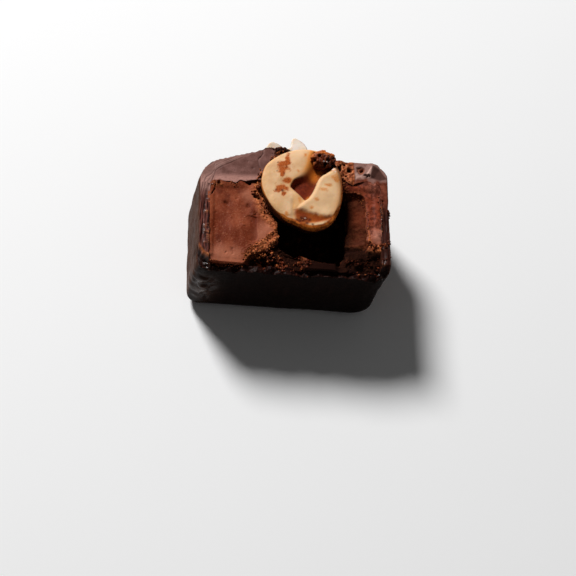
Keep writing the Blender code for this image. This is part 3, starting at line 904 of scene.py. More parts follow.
def makeFilling():
    piece = copyOf("filling", "gianduja_filling")
    remesh(piece, fillingFacts["voxel"])
    relax(piece, 2)
    refine(piece, fillingFacts["fineDepth"], fillingFacts["cuts"])
    relax(piece, 3)
    points, normals = readPoints(piece), readNormals(piece)
    x, h, d = fromCut(points)
    gap = praline["gap"]
    reach, top = halfWidth - praline["sideWall"] - gap, fillingTop(x) - gap
    inner = np.minimum(np.minimum(reach - np.abs(x - praline["skew"] * d), h - praline["floorWall"] - gap),
                       np.minimum(top - h, points[:, 2] - praline["backWall"] - gap))
    front = ramp(d, -0.65, -0.45) * ramp(normals[:, 2], 0.4, 0.8)
    stepFloor = ramp(x, 7.3, 8.3) * ramp(h, 5.6, 6.6) * ramp(d, -2.4, -1.8) * (1 - front)
    cavity = ramp(inner, 0.15, 0.6) * (1 - front)
    rough = cavity * (1 - 0.9 * stepFloor)
    lift, masks = fillingRelief(points)
    points[:, 2] += lift + stepFloor * 0.20 * clouds(points * (0.5, 1.0, 1.0), 1.9, 83, 3)
    # the edges of the recess right of the kernel wander
    atStep = ramp(x, 6.5, 7.5) * ramp(d, -3.0, -2.0)
    sideEdge = atStep * bell(offCurve(x, h, fillingFacts["stepLine"]), 0.0, 0.8)
    topEdge = atStep * bell(h, 15.6, 0.8) * (1 - ramp(x, 11.5, 12.5))
    points[:, 0] += fillingFacts["stepWarp"] * sideEdge * clouds(points * (0.3, 1.0, 0.4), 1.5, 85, 3)
    points[:, 1] += fillingFacts["stepWarp"] * topEdge * clouds(points * (1.0, 0.3, 0.4), 1.3, 86, 3)
    # its rounded edges come up to the level of its face, and further where it sticks to the coating
    edge = (1 - ramp(inner, 0.25, 0.6)) * ramp(d, -0.95, -0.55)
    stuck = (1 - ramp(x, -8.6, -7.4)) * np.maximum(ramp(h, 14.2, 15.4), 1 - ramp(x, -13.5, -13.0))
    stuck *= ramp(h, 1.9, 2.6)
    stuck = np.maximum(stuck, 0.7 * ramp(x, 13.0, 13.6) * ramp(h, 6.5, 8.0))
    points[:, 2] += edge * np.maximum(-0.36 - d, 0.0) + 0.26 * stuck * front * (1 - ramp(inner, 0.1, 1.5))
    points[:, 2] += 0.26 * stuck * (edge - edge * front)
    side = (1 - ramp(inner, 0.15, 0.5)) * (1 - ramp(normals[:, 2], 0.85, 1.0))
    swell = np.where(x < 0, *fillingFacts["sideSwells"]) * side
    push = rough * 0.30 * clouds(points, 1.8, 81, 2) + 0.26 * onlyWhere(rough, crumble, points, 0.8, 82)
    points += normals * push[:, None]
    outward = normals[:, :2] / np.maximum(np.linalg.norm(normals[:, :2], axis=1), 0.05)[:, None]
    points[:, :2] += outward * swell[:, None]
    writePoints(piece, points)
    standing = crests(piece, 0.06)
    masks["torn"] = np.maximum(masks["torn"] * front, rough)
    fading = 1 - ramp(h + 0.4 * clouds(points, 1.1, 84, 3), 5.6, 7.8)
    stepFloor = stepFloor * (1 - fading)
    masks["cavityShade"] = np.maximum(masks["cavityShade"] * (1 - stepFloor), cavity * (1 - stepFloor) * ramp(-d, 0.9, 2.6))
    writeMask(piece, "crest", standing * masks["torn"])
    writeMask(piece, "valleyShade", -standing * (0.25 + 0.75 * masks["torn"]))
    writeMask(piece, "stepFloor", stepFloor)
    # bands of painted shade across the recess, stronger towards its bottom
    bands = bell(h, 8.9, 0.8) + 0.8 * bell(h, 6.9, 0.7) + 0.9 * bell(h, 14.3, 0.9)
    bands += 0.8 * (1 - ramp(h, 6.5, 12.0))
    writeMask(piece, "stepShadeBands", stepFloor * bands)
    writeMask(piece, "nutShade", cavity * (1 - ramp(x, 8.9, 10.2)) * ramp(x, 5.0, 7.0))
    for name, values in masks.items():
        writeMask(piece, name, values if name in ("torn", "rightSide", "cavityShade") else values * front)
    return piece


def fillingMaterial():
    material, tree, shader = newMaterial("gianduja", {
        "Specular IOR Level": 0.06, "IOR": 1.46, "Subsurface Weight": 0.06,
        "Subsurface Radius": (0.9, 0.3, 0.15), "Subsurface Scale": 0.4 * mm})
    colour = shades(tree, (0.155, 0.026, 0.009), (0.315, 0.075, 0.032), 2.6, 5.0, (0.32, 0.68),
                    stretch=(1.0, 1.8, 1.0))
    # painted glimmers, which are tiny painted highlights, then pale flecks and dark flecks
    for size, limits, strength, detail, glintAndFleck in ((0.19, (0.64, 0.74), 0.55, 2.0, (0.62, 0.28, 0.17)),
                                                  (0.35, (0.5, 0.75), 0.35, 3.0, (0.42, 0.15, 0.070)),
                                                  (0.6, (0.55, 0.78), 0.45, 4.0, (0.085, 0.014, 0.006))):
        colour = blend(tree, patches(tree, size, limits, strength, detail), colour, glintAndFleck)
    torn = shades(tree, (0.250, 0.050, 0.016), (0.590, 0.180, 0.064), 0.30, 3.0, (0.35, 0.68))
    # faint painted light on the crests inside the shaded cavity
    crestLightInShade = times(tree, mask(tree, "crest"), patches(tree, 1.3, (0.5, 0.62), 0.5))
    colour = paint(tree, colour, (
        # painted sheen, warm pink, in soft spots on the face
        ("warmSheen", 0.6, (0.46, 0.165, 0.095)),
        ("blotch", 0.6, (0.085, 0.013, 0.005)),
        ("edgeStrip", 0.65, (0.36, 0.100, 0.034)),
        ("patch", 0.6, (0.125, 0.018, 0.006)),
        ("rightSide", 0.85, (0.145, 0.024, 0.011)),
        ("raised", 0.6, (0.290, 0.056, 0.022)),
        ("sheen", 0.75, (0.52, 0.215, 0.145)),
        # painted shade in the recess right of the kernel
        ("stepFloor", 0.9, (0.066, 0.009, 0.003)),
        ("stepShadeBands", 0.88, (0.024, 0.004, 0.002)),
        ("nutShade", 0.9, (0.012, 0.003, 0.002)),
        ("rightSide", patches(tree, 1.1, (0.44, 0.60), 0.72, 5.0, rough=0.7), (0.050, 0.008, 0.004)),
        ("torn", 1.0, torn),
        # painted highlight on the crests of the torn paste
        ("crest", patches(tree, 0.5, (0.35, 0.6), 0.7), (0.78, 0.32, 0.125)),
        # painted shade in the hollows between lumps
        ("valleyShade", 0.7, (0.060, 0.012, 0.005)),
        # painted shade in the cavity, the low parts and where the step runs out
        ("cavityShade", 0.97, (0.007, 0.0018, 0.0012)),
        # painted shade in the holes, the corner crack and under the coating's lip
        ("hole", 0.93, (0.010, 0.003, 0.002)),
        ("cavityShade", crestLightInShade, (0.20, 0.040, 0.016))))
    rough = between(tree, speckle(tree, 1.1, 4.0), 0.3, 0.75, (0.40, 0.58))
    for name, dullness in (("torn", 0.55), ("stepFloor", 0.85), ("cavityShade", 0.95)):
        rough = towards(tree, name, rough, dullness)
    plug(tree, shader, {"Base Color": colour, "Roughness": rough})
    grain = plus(tree, speckle(tree, 0.26, 5.0), times(tree, speckle(tree, 0.07), 0.4))
    grain = plus(tree, grain, times(tree, times(tree, speckle(tree, 0.14, 4.0), mask(tree, "torn")), 2.0))
    relief(tree, shader, grain, 0.055, 0.7)
    return material


# The kernel. Its lines are measured from its middle, across and up the split face.

kernelFacts = {
    "faces": (156, 156, 40),
    "flatten": 0.40,  # the cube's top then reaches nearly to the rim, where the mesh is finest
    "outline": ((-6.95, 1.0), (-6.3, 3.6), (-4.4, 5.6), (-1.5, 7.15), (1.5, 7.5), (4.2, 6.5), (5.9, 4.1),
                (6.5, 1.6), (6.55, -0.9), (6.05, -3.6), (4.9, -6.0), (3.0, -7.4), (0.8, -7.7), (-1.5, -6.75), (-3.3, -5.9),
                (-5.4, -3.7), (-6.7, -0.9), (-6.95, 1.0)),
    "rimDrop": 0.44,
    "dome": 0.10,
    "hollowLeft": ((1.25, 7.4), (0.8, 6.1), (0.5, 4.6), (0.0, 3.35), (-0.9, 2.0), (-1.7, 1.2), (-2.25, 0.0)),
    "hollowFoot": ((-2.15, -0.4), (-1.5, -1.05), (-0.65, -1.9), (0.0, -2.6)),
    "crest": ((5.8, 4.6), (5.0, 3.95), (4.05, 3.0), (2.95, 2.1), (2.35, 1.1), (1.95, -0.05), (1.4, -1.25),
              (0.8, -2.2), (0.0, -2.95), (-0.75, -3.75), (-1.15, -4.35)),
    "crestEnd": -2.8,  # the hollow ends here along the crest
    "petalFoot": ((-1.05, -4.45), (-0.35, -4.55), (0.55, -4.75), (1.55, -5.05), (3.0, -5.35), (4.0, -5.35),
                  (5.0, -5.05), (5.75, -4.6), (6.4, -3.5)),
    "crescent": ((-0.3, -7.12), (0.7, -7.02), (2.0, -6.82), (3.5, -6.38), (4.5, -5.93), (5.4, -5.22)),
    "seam": ((-1.85, -2.4), (-1.8, -4.7), (-1.75, -5.9), (-1.8, -7.2)),
    "hollowDepth": 0.95,
    "petalRise": 0.34,
    "bandDrop": 0.12,
    "stains": ((-3.3, 3.4, 1.2, 1.15), (-2.65, 5.0, 0.5, 1.1), (-3.5, 2.0, 0.35, 0.5), (-2.6, 0.9, 0.8, 0.6),
               (-3.7, -0.6, 1.0, 0.75), (-3.3, -1.6, 0.5, 0.4)),
    "stainEdge": -2.1,  # the upper stain ends sharply at this distance right of the middle
    "darkDots": ((0.1, -5.95, 0.50), (-0.5, -6.3, 0.30), (1.0, -6.1, 0.30), (-3.5, -1.1, 0.26), (-4.55, -0.95, 0.14),
                 (-2.5, 1.0, 0.13), (-4.35, 2.7, 0.12), (-3.2, 2.2, 0.16), (-2.8, 3.6, 0.14), (-4.3, 4.3, 0.10),
                 (-1.0, -6.35, 0.30), (0.6, -6.75, 0.28), (1.5, -6.95, 0.20), (-1.7, -6.5, 0.22)),
    "blushes": ((5.3, 2.0, 0.75, 0.7), (3.4, -0.4, 0.6, 0.35), (4.3, 0.5, 0.7, 0.3), (1.3, -4.0, 0.35, 0.4),
                (-0.65, -2.75, 0.3, 0.4), (0.35, 6.1, 0.3, 0.4), (-0.9, 2.9, 0.25, 0.25), (2.1, -2.4, 0.35, 0.3),
                (-2.85, -5.4, 0.45, 0.5), (4.7, 3.6, 0.5, 0.35)),
    "litGold": ((1.9, 2.6, 0.9, 1.2), (0.9, 4.4, 0.7, 0.9), (2.9, 3.2, 0.7, 0.7), (0.85, -1.9, 0.35, 0.45)),
    "glints": ((4.95, 3.7, 0.28), (5.3, 3.2, 0.16), (0.25, -5.85, 0.11)),
    "darkSkin": (0.74, 0.20),  # which way round the rim, and how far to each side
}


def makeKernel():
    bm = gridCube(kernelFacts["faces"])
    facts = kernelFacts
    outline = smoothLine(facts["outline"])[:-1]
    turns, reaches = np.arctan2(outline[:, 1], outline[:, 0]), np.hypot(outline[:, 0], outline[:, 1])
    masks = {}

    def bend(cube):
        ball = cube * (1.0, 1.0, facts["flatten"])
        ball /= np.linalg.norm(ball, axis=1, keepdims=True)
        x, y, z = ball.T
        share, turn = np.hypot(x, y), np.arctan2(y, x)
        reach = np.interp(turn, turns, reaches, period=2 * math.pi)
        px, py = share * reach * np.cos(turn), share * reach * np.sin(turn)
        front = ramp(z, 0.0, 0.1)
        keep = 1 - ramp(share, 0.91, 0.99)  # the relief fades out at the rim

        left = smoothLine(facts["hollowLeft"] + facts["hollowFoot"])
        crest = smoothLine(facts["crest"])
        inBay = within(px, py, np.vstack([left, crest[crest[:, 1] > facts["crestEnd"]][::-1]]))
        fromLeft, fromCrest = np.abs(offLine(px, py, left)), offLine(px, py, crest)
        rightSide = ramp(fromCrest, -0.06, 0.06)
        # the hollow's upper left side is soft, and its foot and its crest are crisp
        upper = ramp(0.67 * px + 0.74 * py, -0.6, 2.2)
        hollow = (inBay > 0) * ramp(fromLeft, 0.0, 0.6 + 1.7 * upper) * ramp(-fromCrest, 0.0, 0.30)
        height = -facts["hollowDepth"] * hollow
        foot = offCurve(px, py, facts["petalFoot"])
        aboveFoot = ramp(foot, -0.75, 0.75)
        petal = facts["petalRise"] * np.sqrt(np.clip(fromCrest / 0.5, 0, 1)) * (1 - 0.45 * ramp(fromCrest, 0.4, 3.5))
        height += rightSide * aboveFoot * petal
        crescent = offCurve(px, py, facts["crescent"])
        belowFoot = ramp(px, -1.9, -0.9) * (1 - ramp(py, -4.3, -3.6))
        inBand = (1 - ramp(foot, -0.35, 0.35)) * belowFoot * ramp(crescent, 0.1, 0.6)
        height -= facts["bandDrop"] * inBand
        flat = ramp(px, -2.1, -1.6) * (1 - ramp(py, -2.4, -1.2)) * (1 - rightSide)
        flat *= (1 - ramp(inBay, -0.15, 0.1)) * ramp(py, -5.0, -4.0)
        points = np.stack([px, py, z], axis=1)
        seam = offCurve(px, py, facts["seam"]) + 0.12 * clouds(points, 1.2, 94, 2)
        seamFade = (1 - ramp(py, -3.6, -2.2)) * ramp(py, -6.6, -5.4)
        height -= 0.11 * bell(seam, 0.0, 0.30) * seamFade
        height +=0.10 * clouds(points, 2.6, 91, 2) + 0.010 * clouds(points, 0.35, 92, 3)
        base = facts["dome"] * (1 - share ** 2) + facts["rimDrop"] * np.sqrt(np.clip(1 - share ** 10, 0, 1))
        lean = 0.05 * clouds(ball * 7, 3.0, 93, 2)

        # colours: what the hollow, the petal's band and the skin cover
        inside = ramp(inBay, -0.04, 0.08) * (1 - rightSide) * front
        masks["hollow"] = inside * ramp(fromLeft, 0.0, 0.15 + 0.75 * upper)
        masks["deep"] = inside * (1 - ramp(fromLeft, 0.5, 2.0)) * (1 - ramp(py, 0.6, 2.6))
        masks["glow"] = inside * (1 - ramp(fromLeft, 0.3, 1.3)) * ramp(py, 1.4, 3.8)
        masks["bayEdge"] = front * ramp(-inBay, -0.1, 0.02) * (1 - ramp(-inBay, 0.0, 0.55)) * (1 - rightSide)
        footNoise = 0.22 * clouds(points, 0.9, 98, 3)
        masks["band"] = (1 - ramp(foot + footNoise, -0.25, 0.45)) * belowFoot * front
        masks["band"] *= ramp(crescent + 0.5 * footNoise, -0.15, 0.12)
        masks["bandDeep"] = (1 - ramp(foot + footNoise, -0.5, 0.0)) * inBand * (1 - ramp(-foot, 1.0, 1.6)) * front
        masks["bandLeft"] = masks["band"] * (1 - ramp(px, 0.2, 1.6)) * ramp(px, -1.3, -0.7)
        masks["crescent"] = bell(crescent, 0.0, 0.24) * front * ramp(px, 0.2, 0.9)
        masks["flat"] = flat * front
        masks["crestLight"] = bell(fromCrest, 0.5, 0.9) * rightSide * aboveFoot * front
        masks["petalLight"] = ramp(fromCrest, 0.6, 1.6) * rightSide * aboveFoot * front
        masks["rimShade"] = front * ramp(share, 0.78, 0.97) * ramp(np.cos(turn - 0.15), 0.1, 0.8)
        masks["seamShade"] = bell(seam, 0.12, 0.28) * seamFade * front
        # the skin shows as a thin line at the rim, and wider at the bottom
        atFoot = ramp(np.cos(turn + 1.4), 0.55, 0.95)
        edge = 0.08 + 0.15 * ramp(np.cos(turn), 0.4, 0.9) + 0.26 * atFoot
        edge += 0.04 * clouds(points, 1.0, 95, 3)
        masks["skin"] = 1 - ramp(z, edge, edge + 0.08)
        masks["skinLeft"] = masks["skin"] * ramp(np.cos(turn - 3.3), 0.3, 0.9)
        masks["underSkinShade"] = 1 - ramp(z + 0.02 * clouds(points, 1.3, 96, 2) + 0.06 * atFoot, -0.05, 0.01)
        around, reachAround = facts["darkSkin"]
        masks["darkSkin"] = front * ramp(share, 0.89, 0.94) * bell(turn, around, reachAround)
        masks["shadeLeft"] = front * ramp(share, 0.72, 0.98) * ramp(np.cos(turn - 3.3), 0.2, 0.9)
        sharp = 1 - ramp(px, facts["stainEdge"] - 0.1, facts["stainEdge"] + 0.1) * ramp(py, 2.0, 2.6)
        ragged = 0.5 * clouds(points, 0.7, 97, 4)
        for name, marks in (("stain", "stains"), ("blush", "blushes"), ("litGold", "litGold"),
                            ("darkDot", "darkDots"), ("glint", "glints")):
            masks[name] = spots(px, py, facts[marks], 2.5) * front
        masks["stainHalo"] = ramp(masks["stain"] * sharp + 0.4 * ragged * (masks["stain"] > 0.05), 0.0, 0.7)
        masks["stain"] = ramp(masks["stain"] * sharp + ragged * (masks["stain"] > 0.05), 0.15, 0.75)
        masks["blush"] = ramp(masks["blush"] + ragged * (masks["blush"] > 0.05), 0.05, 0.85)
        up = keep * height + base
        down = -np.abs(z) ** 0.85 * kernelForm["back"]
        place = np.stack([px + lean, py + lean, np.where(z < 0, down, up)], axis=1)
        return place + kernelForm["centre"]

    bendPoints(bm, bend)
    piece = newPiece("hazelnut_half", bm)
    for name, values in masks.items():
        writeMask(piece, name, values)
    return piece


def kernelMaterial():
    material, tree, shader = newMaterial("hazelnut_kernel", {
        "Specular IOR Level": 0.09, "IOR": 1.46, "Subsurface Weight": 0.12,
        "Subsurface Radius": (1.0, 0.45, 0.16), "Subsurface Scale": 0.45 * mm})
    colour = shades(tree, (0.64, 0.375, 0.185), (0.79, 0.505, 0.285), 3.0, 3.0)
    dust = between(tree, speckle(tree, 0.42, 6.0, (0.8, 1.5, 1.0), rough=0.8), 0.38, 0.62)
    grain = between(tree, speckle(tree, 0.20, 3.0, rough=0.8), 0.48, 0.60)
    hollowFloor = shades(tree, (0.090, 0.010, 0.003), (0.190, 0.027, 0.007), 1.5, limits=(0.35, 0.65), rough=0.65)
    bandColour = shades(tree, (0.330, 0.056, 0.005), (0.52, 0.135, 0.014), 0.7, limits=(0.38, 0.62))
    skin = shades(tree, (0.20, 0.034, 0.004), (0.56, 0.150, 0.020), 0.6)
    colour = paint(tree, colour, (
        ("shadeLeft", 0.4, (0.66, 0.34, 0.12)),
        ("petalLight", 0.45, (0.93, 0.62, 0.34)),
        ("crestLight", 0.3, (0.86, 0.56, 0.30)),
        ("rimShade", 0.8, (0.58, 0.230, 0.062)),
        ("bayEdge", 0.45, (0.72, 0.330, 0.095)),
        ("flat", 0.6, (0.68, 0.34, 0.110)),
        ("seamShade", 0.45, (0.50, 0.22, 0.050)),
        ("band", 0.97, bandColour),
        ("bandDeep", 0.65, (0.26, 0.036, 0.003)),
        ("bandLeft", 0.55, (0.18, 0.028, 0.007)),
        ("crescent", 0.75, (0.88, 0.60, 0.34)),
        ("hollow", 1.0, hollowFloor),
        # painted lighter where the hollow's floor lies in shade by its left side, standing in for softer light there
        ("deep", 0.55, (0.200, 0.026, 0.008)),
        # painted light: golden where light falls on the hollow's floor
        ("litGold", times(tree, mask(tree, "hollow"), 0.85), (0.56, 0.150, 0.014)),
        ("glow", 0.7, (0.84, 0.300, 0.042)),
        ("stainHalo", 0.5, (0.66, 0.225, 0.045)),
        ("stain", plus(tree, times(tree, dust, 0.15), 0.83), (0.45, 0.082, 0.005)),
        ("stain", times(tree, grain, 0.8), (0.19, 0.026, 0.003)),
        ("darkDot", 0.9, (0.09, 0.016, 0.007)),
        ("blush", plus(tree, times(tree, dust, 0.45), 0.45), (0.62, 0.185, 0.022)),
        ("skin", 1.0, skin),
        ("skinLeft", 0.6, (0.56, 0.200, 0.040)),
        ("darkSkin", 0.9, (0.080, 0.016, 0.007)),
        ("glint", 0.8, (0.92, 0.72, 0.62)),
        # the skin below the rim: brown of its own, painted nearly black as painted shade
        ("underSkinShade", 0.96, (0.012, 0.003, 0.0015))))
    rough = between(tree, speckle(tree, 0.8, 4.0), 0.3, 0.75, (0.42, 0.58))
    for name in ("hollow", "band"):
        rough = towards(tree, name, rough, 0.75)
    plug(tree, shader, {"Base Color": colour, "Roughness": rough})
    relief(tree, shader, plus(tree, speckle(tree, 0.35, 4.0), times(tree, speckle(tree, 0.1), 0.4)), 0.02, 0.5)
    return material


# Nut chips and the crumb of coating on the kernel

chipFacts = {
    "voxel": 0.09,
    "thick": 1.0,
    # each chip's outline, how far its middle lies below the cut, and how much its flat face
    # leans to the right and to the top
    "nut_chip_left": (((-4.7, 22.4), (-4.8, 23.5), (-4.56, 24.65), (-4.15, 25.3), (-3.53, 25.75), (-2.75, 25.5),
                       (-1.68, 24.9), (-1.55, 24.2), (-2.2, 22.4)), 2.4, (-0.04, 0.06)),
    "nut_chip_right": (((-0.4, 22.4), (-1.25, 23.7), (-1.15, 24.4), (-0.45, 24.8), (-0.22, 25.5), (-0.24, 26.3),
                        (0.02, 27.0), (0.55, 27.15), (1.28, 26.75), (1.97, 26.16), (2.48, 25.16), (2.5, 24.0),
                        (2.3, 22.4)), 2.4, (-0.06, -0.18)),
}


def makeChip(node):
    outline, depth, lean = chipFacts[node]
    bm = bmesh.new()
    bottom = [bm.verts.new((x * mm, (h - restHeight) * mm, (cutZ - depth) * mm)) for x, h in outline]
    slab = bmesh.ops.extrude_face_region(bm, geom=[bm.faces.new(bottom)])["geom"]
    for vert in slab:
        if isinstance(vert, bmesh.types.BMVert):
            vert.co.z += chipFacts["thick"] * mm
    piece = newPiece(node + "_detailed", bm)
    remesh(piece, chipFacts["voxel"])
    relax(piece, 7)
    points = readPoints(piece)
    middle = (points.min(axis=0) + points.max(axis=0)) / 2
    away = points - middle
    points[:, 2] += away[:, 0] * lean[0] + away[:, 1] * lean[1] - chipFacts["thick"] / 2
    points[:, 2] += 0.06 * clouds(points, 1.6, 101, 2)
    points[:, :2] += 0.04 * np.stack([clouds(points, 0.9, k, 2) for k in (102, 103)], axis=1)
    writePoints(piece, points)
    standing = crests(piece, 0.03)
    writeMask(piece, "valleyShade", -standing)
    # painted shade along the right part of the chip's edge
    writeMask(piece, "edge", ramp(within(points[:, 0], points[:, 1] + restHeight, outline), 0.30, 0.02)
              * ramp(away[:, 0], 0.2, 0.9))
    return piece


def chipMaterial():
    material, tree, shader = newMaterial("white_nut", {
        "Specular IOR Level": 0.30, "IOR": 1.46, "Subsurface Weight": 0.3,
        "Subsurface Radius": (1.0, 0.7, 0.5), "Subsurface Scale": 0.5 * mm})
    colour = shades(tree, (0.77, 0.60, 0.44), (0.80, 0.69, 0.59), 1.6, 2.0, (0.35, 0.65))
    # painted shade on each chip's right edge and in its hollows
    colour = paint(tree, colour, (("edge", 0.6, (0.42, 0.26, 0.24)), ("valleyShade", 0.15, (0.62, 0.42, 0.28))))
    rough = between(tree, speckle(tree, 0.5), 0.3, 0.7, (0.40, 0.58))
    plug(tree, shader, {"Base Color": colour, "Roughness": rough})
    relief(tree, shader, speckle(tree, 0.2, 4.0), 0.02, 0.4)
    return material


crumbFacts = {
    "voxel": 0.085,
    "holes": ((2.8, 19.6, 0.34), (5.1, 19.6, 0.36), (6.0, 19.3, 0.26), (3.7, 20.3, 0.24), (4.6, 18.9, 0.30)),
    # painted glints: where they are, and their radius
    "flecks": ((4.35, 19.30, 0.13), (4.85, 19.22, 0.12), (5.2, 20.3, 0.08)),
}


def makeCrumb():
    piece = copyOf("chocolate_crumb", "chocolate_crumb_detailed")
    remesh(piece, crumbFacts["voxel"])
    relax(piece, 5)
    points, normals = readPoints(piece), readNormals(piece)
    x, h, _ = fromCut(points)
    push = 0.20 * clouds(points, 1.5, 107, 5) + 0.12 * clouds(points, 0.5, 106, 4)
    push += 0.05 * crumble(points, 0.80, 108) + 0.08 * crumble(points, 0.40, 109)
    dent, glintAndFleck = (spots(x, h, crumbFacts[marks], 4) for marks in ("holes", "flecks"))
    writePoints(piece, points + normals * (push - 0.55 * dent)[:, None])
    standing = crests(piece, 0.06)
    topLight = ramp(h + 0.5 * clouds(points, 0.6, 110, 3), 20.2, 21.4) + 0.6 * ramp(3.2 - x, 0.0, 0.6)
    writeMask(piece, "crest", standing)
    writeMask(piece, "valleyShade", -0.7 * standing * (1 - 0.6 * np.clip(topLight, 0, 1)))
    writeMask(piece, "hole", dent)
    writeMask(piece, "glintAndFleck", glintAndFleck)
    writeMask(piece, "topLight", topLight)
    return piece


def crumbMaterial():
    material, tree, shader = newMaterial("chocolate_crumbs", {
        "Specular IOR Level": 0.10, "IOR": 1.47, "Subsurface Weight": 0.0})
    colour = shades(tree, (0.045, 0.007, 0.003), (0.160, 0.032, 0.010), 0.3, limits=(0.35, 0.65))
    colour = paint(tree, colour, (
        # painted highlight on the crests
        ("crest", patches(tree, 0.5, (0.4, 0.6), 0.5), (0.28, 0.060, 0.018)),
        ("topLight", 0.85, (0.56, 0.140, 0.022)),
        # pale crumbs in the orange of lit crumbs: partly painted light
        ("pale", 0.85, (0.52, 0.150, 0.045)),
        # painted shade in the hollows between lumps
        ("valleyShade", 0.85, (0.010, 0.003, 0.002)),
        # painted shade in the holes
        ("hole", 0.95, (0.005, 0.002, 0.0015)),
        # painted glints
        ("glintAndFleck", 0.9, (0.80, 0.62, 0.55))))
    rough = between(tree, speckle(tree, 0.3), 0.3, 0.7, (0.28, 0.55))
    plug(tree, shader, {"Base Color": colour, "Roughness": rough})
    relief(tree, shader, speckle(tree, 0.12, 4.0), 0.03, 0.6)
    return material


# Loose crumbs. Each heap has a line to lie along, how many, how far they stray from it,
# their smallest and largest radius, and how many of them are pale. Pale crumbs are painted in the orange of lit
# crumbs, and the share is low where the crumbs lie in shade, so it is partly painted light.

heaps = {
    "kernel_side_crumbs": (
        (((-5.2, 18.6), (-5.85, 17.3), (-6.1, 15.6), (-6.4, 14.5), (-5.7, 13.2), (-4.9, 11.6), (-4.1, 10.6)),
         110, 0.30, 0.07, 0.34, 0.55),
        (((-6.9, 14.0), (-6.2, 15.0), (-5.9, 16.9), (-5.3, 18.9)), 26, 0.35, 0.10, 0.40, 0.8),
        (((-4.1, 20.9), (-3.0, 22.0), (-1.6, 22.9)), 30, 0.25, 0.08, 0.30, 0.6),
        (((7.2, 20.5), (8.0, 18.8), (8.2, 17.0), (8.6, 16.1)), 60, 0.45, 0.07, 0.26, 0.6),
    ),
    "torn_edge_crumbs": (
        (((-2.6, 8.4), (-2.6, 7.9), (-3.0, 6.0), (-4.1, 4.0), (-5.0, 2.9), (-5.9, 3.3), (-7.3, 3.0), (-8.2, 1.4)),
         190, 0.28, 0.06, 0.22, 0.75),
        (((-3.2, 7.4), (-4.5, 6.2), (-5.8, 4.8), (-7.2, 3.9), (-8.2, 2.6)), 120, 0.35, 0.06, 0.20, 0.75),
        (((-13.8, 1.45), (-12.3, 1.1), (-10.7, 1.0), (-9.1, 1.0), (-8.2, 1.2)), 110, 0.12, 0.05, 0.16, 0.7),
        (((-13.0, 15.7), (-12.2, 15.5), (-10.4, 15.8), (-9.3, 15.7)), 34, 0.22, 0.05, 0.14, 1.0),
    ),
    "cavity_crumbs": (
        (((-6.6, 1.9), (-4.6, 1.9), (-3.2, 2.7), (-2.0, 1.9), (-1.3, 1.3)), 160, 0.50, 0.08, 0.44, 0.16),
        (((0.6, 2.1), (1.9, 2.4), (1.4, 1.0), (1.9, 4.6)), 90, 0.55, 0.07, 0.34, 0.12),
        (((9.5, 3.6), (11.1, 3.0), (13.4, 3.9), (14.2, 2.5), (13.3, 1.2), (11.7, 1.2), (9.7, 1.7)),
         90, 0.35, 0.06, 0.24, 0.07),
    ),
    "right_side_crumbs": (
        (((11.2, 14.8), (12.1, 12.9), (12.3, 11.8), (12.35, 9.7), (12.2, 8.6), (12.25, 6.5), (12.3, 5.4)),
         55, 0.12, 0.05, 0.16, 0.45),
        (((12.3, 6.4), (13.5, 5.8), (15.2, 6.4)), 70, 0.25, 0.07, 0.30, 0.25),
        (((8.7, 16.1), (9.5, 15.9), (10.9, 15.3), (11.6, 14.7)), 60, 0.18, 0.06, 0.20, 0.35),
        (((14.3, 15.6), (14.6, 14.2), (14.7, 12.5)), 50, 0.22, 0.06, 0.24, 0.12),
        (((15.75, 12.6), (15.8, 11.6)), 16, 0.12, 0.18, 0.42, 0.0),
        (((15.55, 6.9), (15.6, 6.3)), 12, 0.10, 0.18, 0.36, 0.0),
    ),
    "kernel_foot_crumbs": (
        (((0.6, 9.0), (1.1, 8.75), (1.7, 8.9)), 22, 0.16, 0.06, 0.14, 0.4),
        (((3.2, 17.9), (4.2, 17.6), (5.3, 18.2)), 14, 0.22, 0.06, 0.16, 0.4),
    ),
    "crown_crumbs": (
        (((-3.6, 23.3), (-2.6, 23.6), (-1.4, 23.7), (-0.2, 23.6), (0.4, 23.5)), 90, 0.20, 0.08, 0.30, 0.05),
        (((-3.3, 22.3), (-2.2, 22.8), (-1.2, 23.1)), 50, 0.28, 0.06, 0.20, 0.22),
    ),
}


def ballTemplate():
    bm = bmesh.new()
    bmesh.ops.create_icosphere(bm, subdivisions=2, radius=1.0)
    points = np.array([vert.co for vert in bm.verts])
    faces = np.array([[vert.index for vert in face.verts] for face in bm.faces])
    bm.free()
    return points, faces


def treeOf(piece):
    mesh = piece.data
    return BVHTree.FromPolygons([v.co for v in mesh.vertices], [p.vertices[:] for p in mesh.polygons])


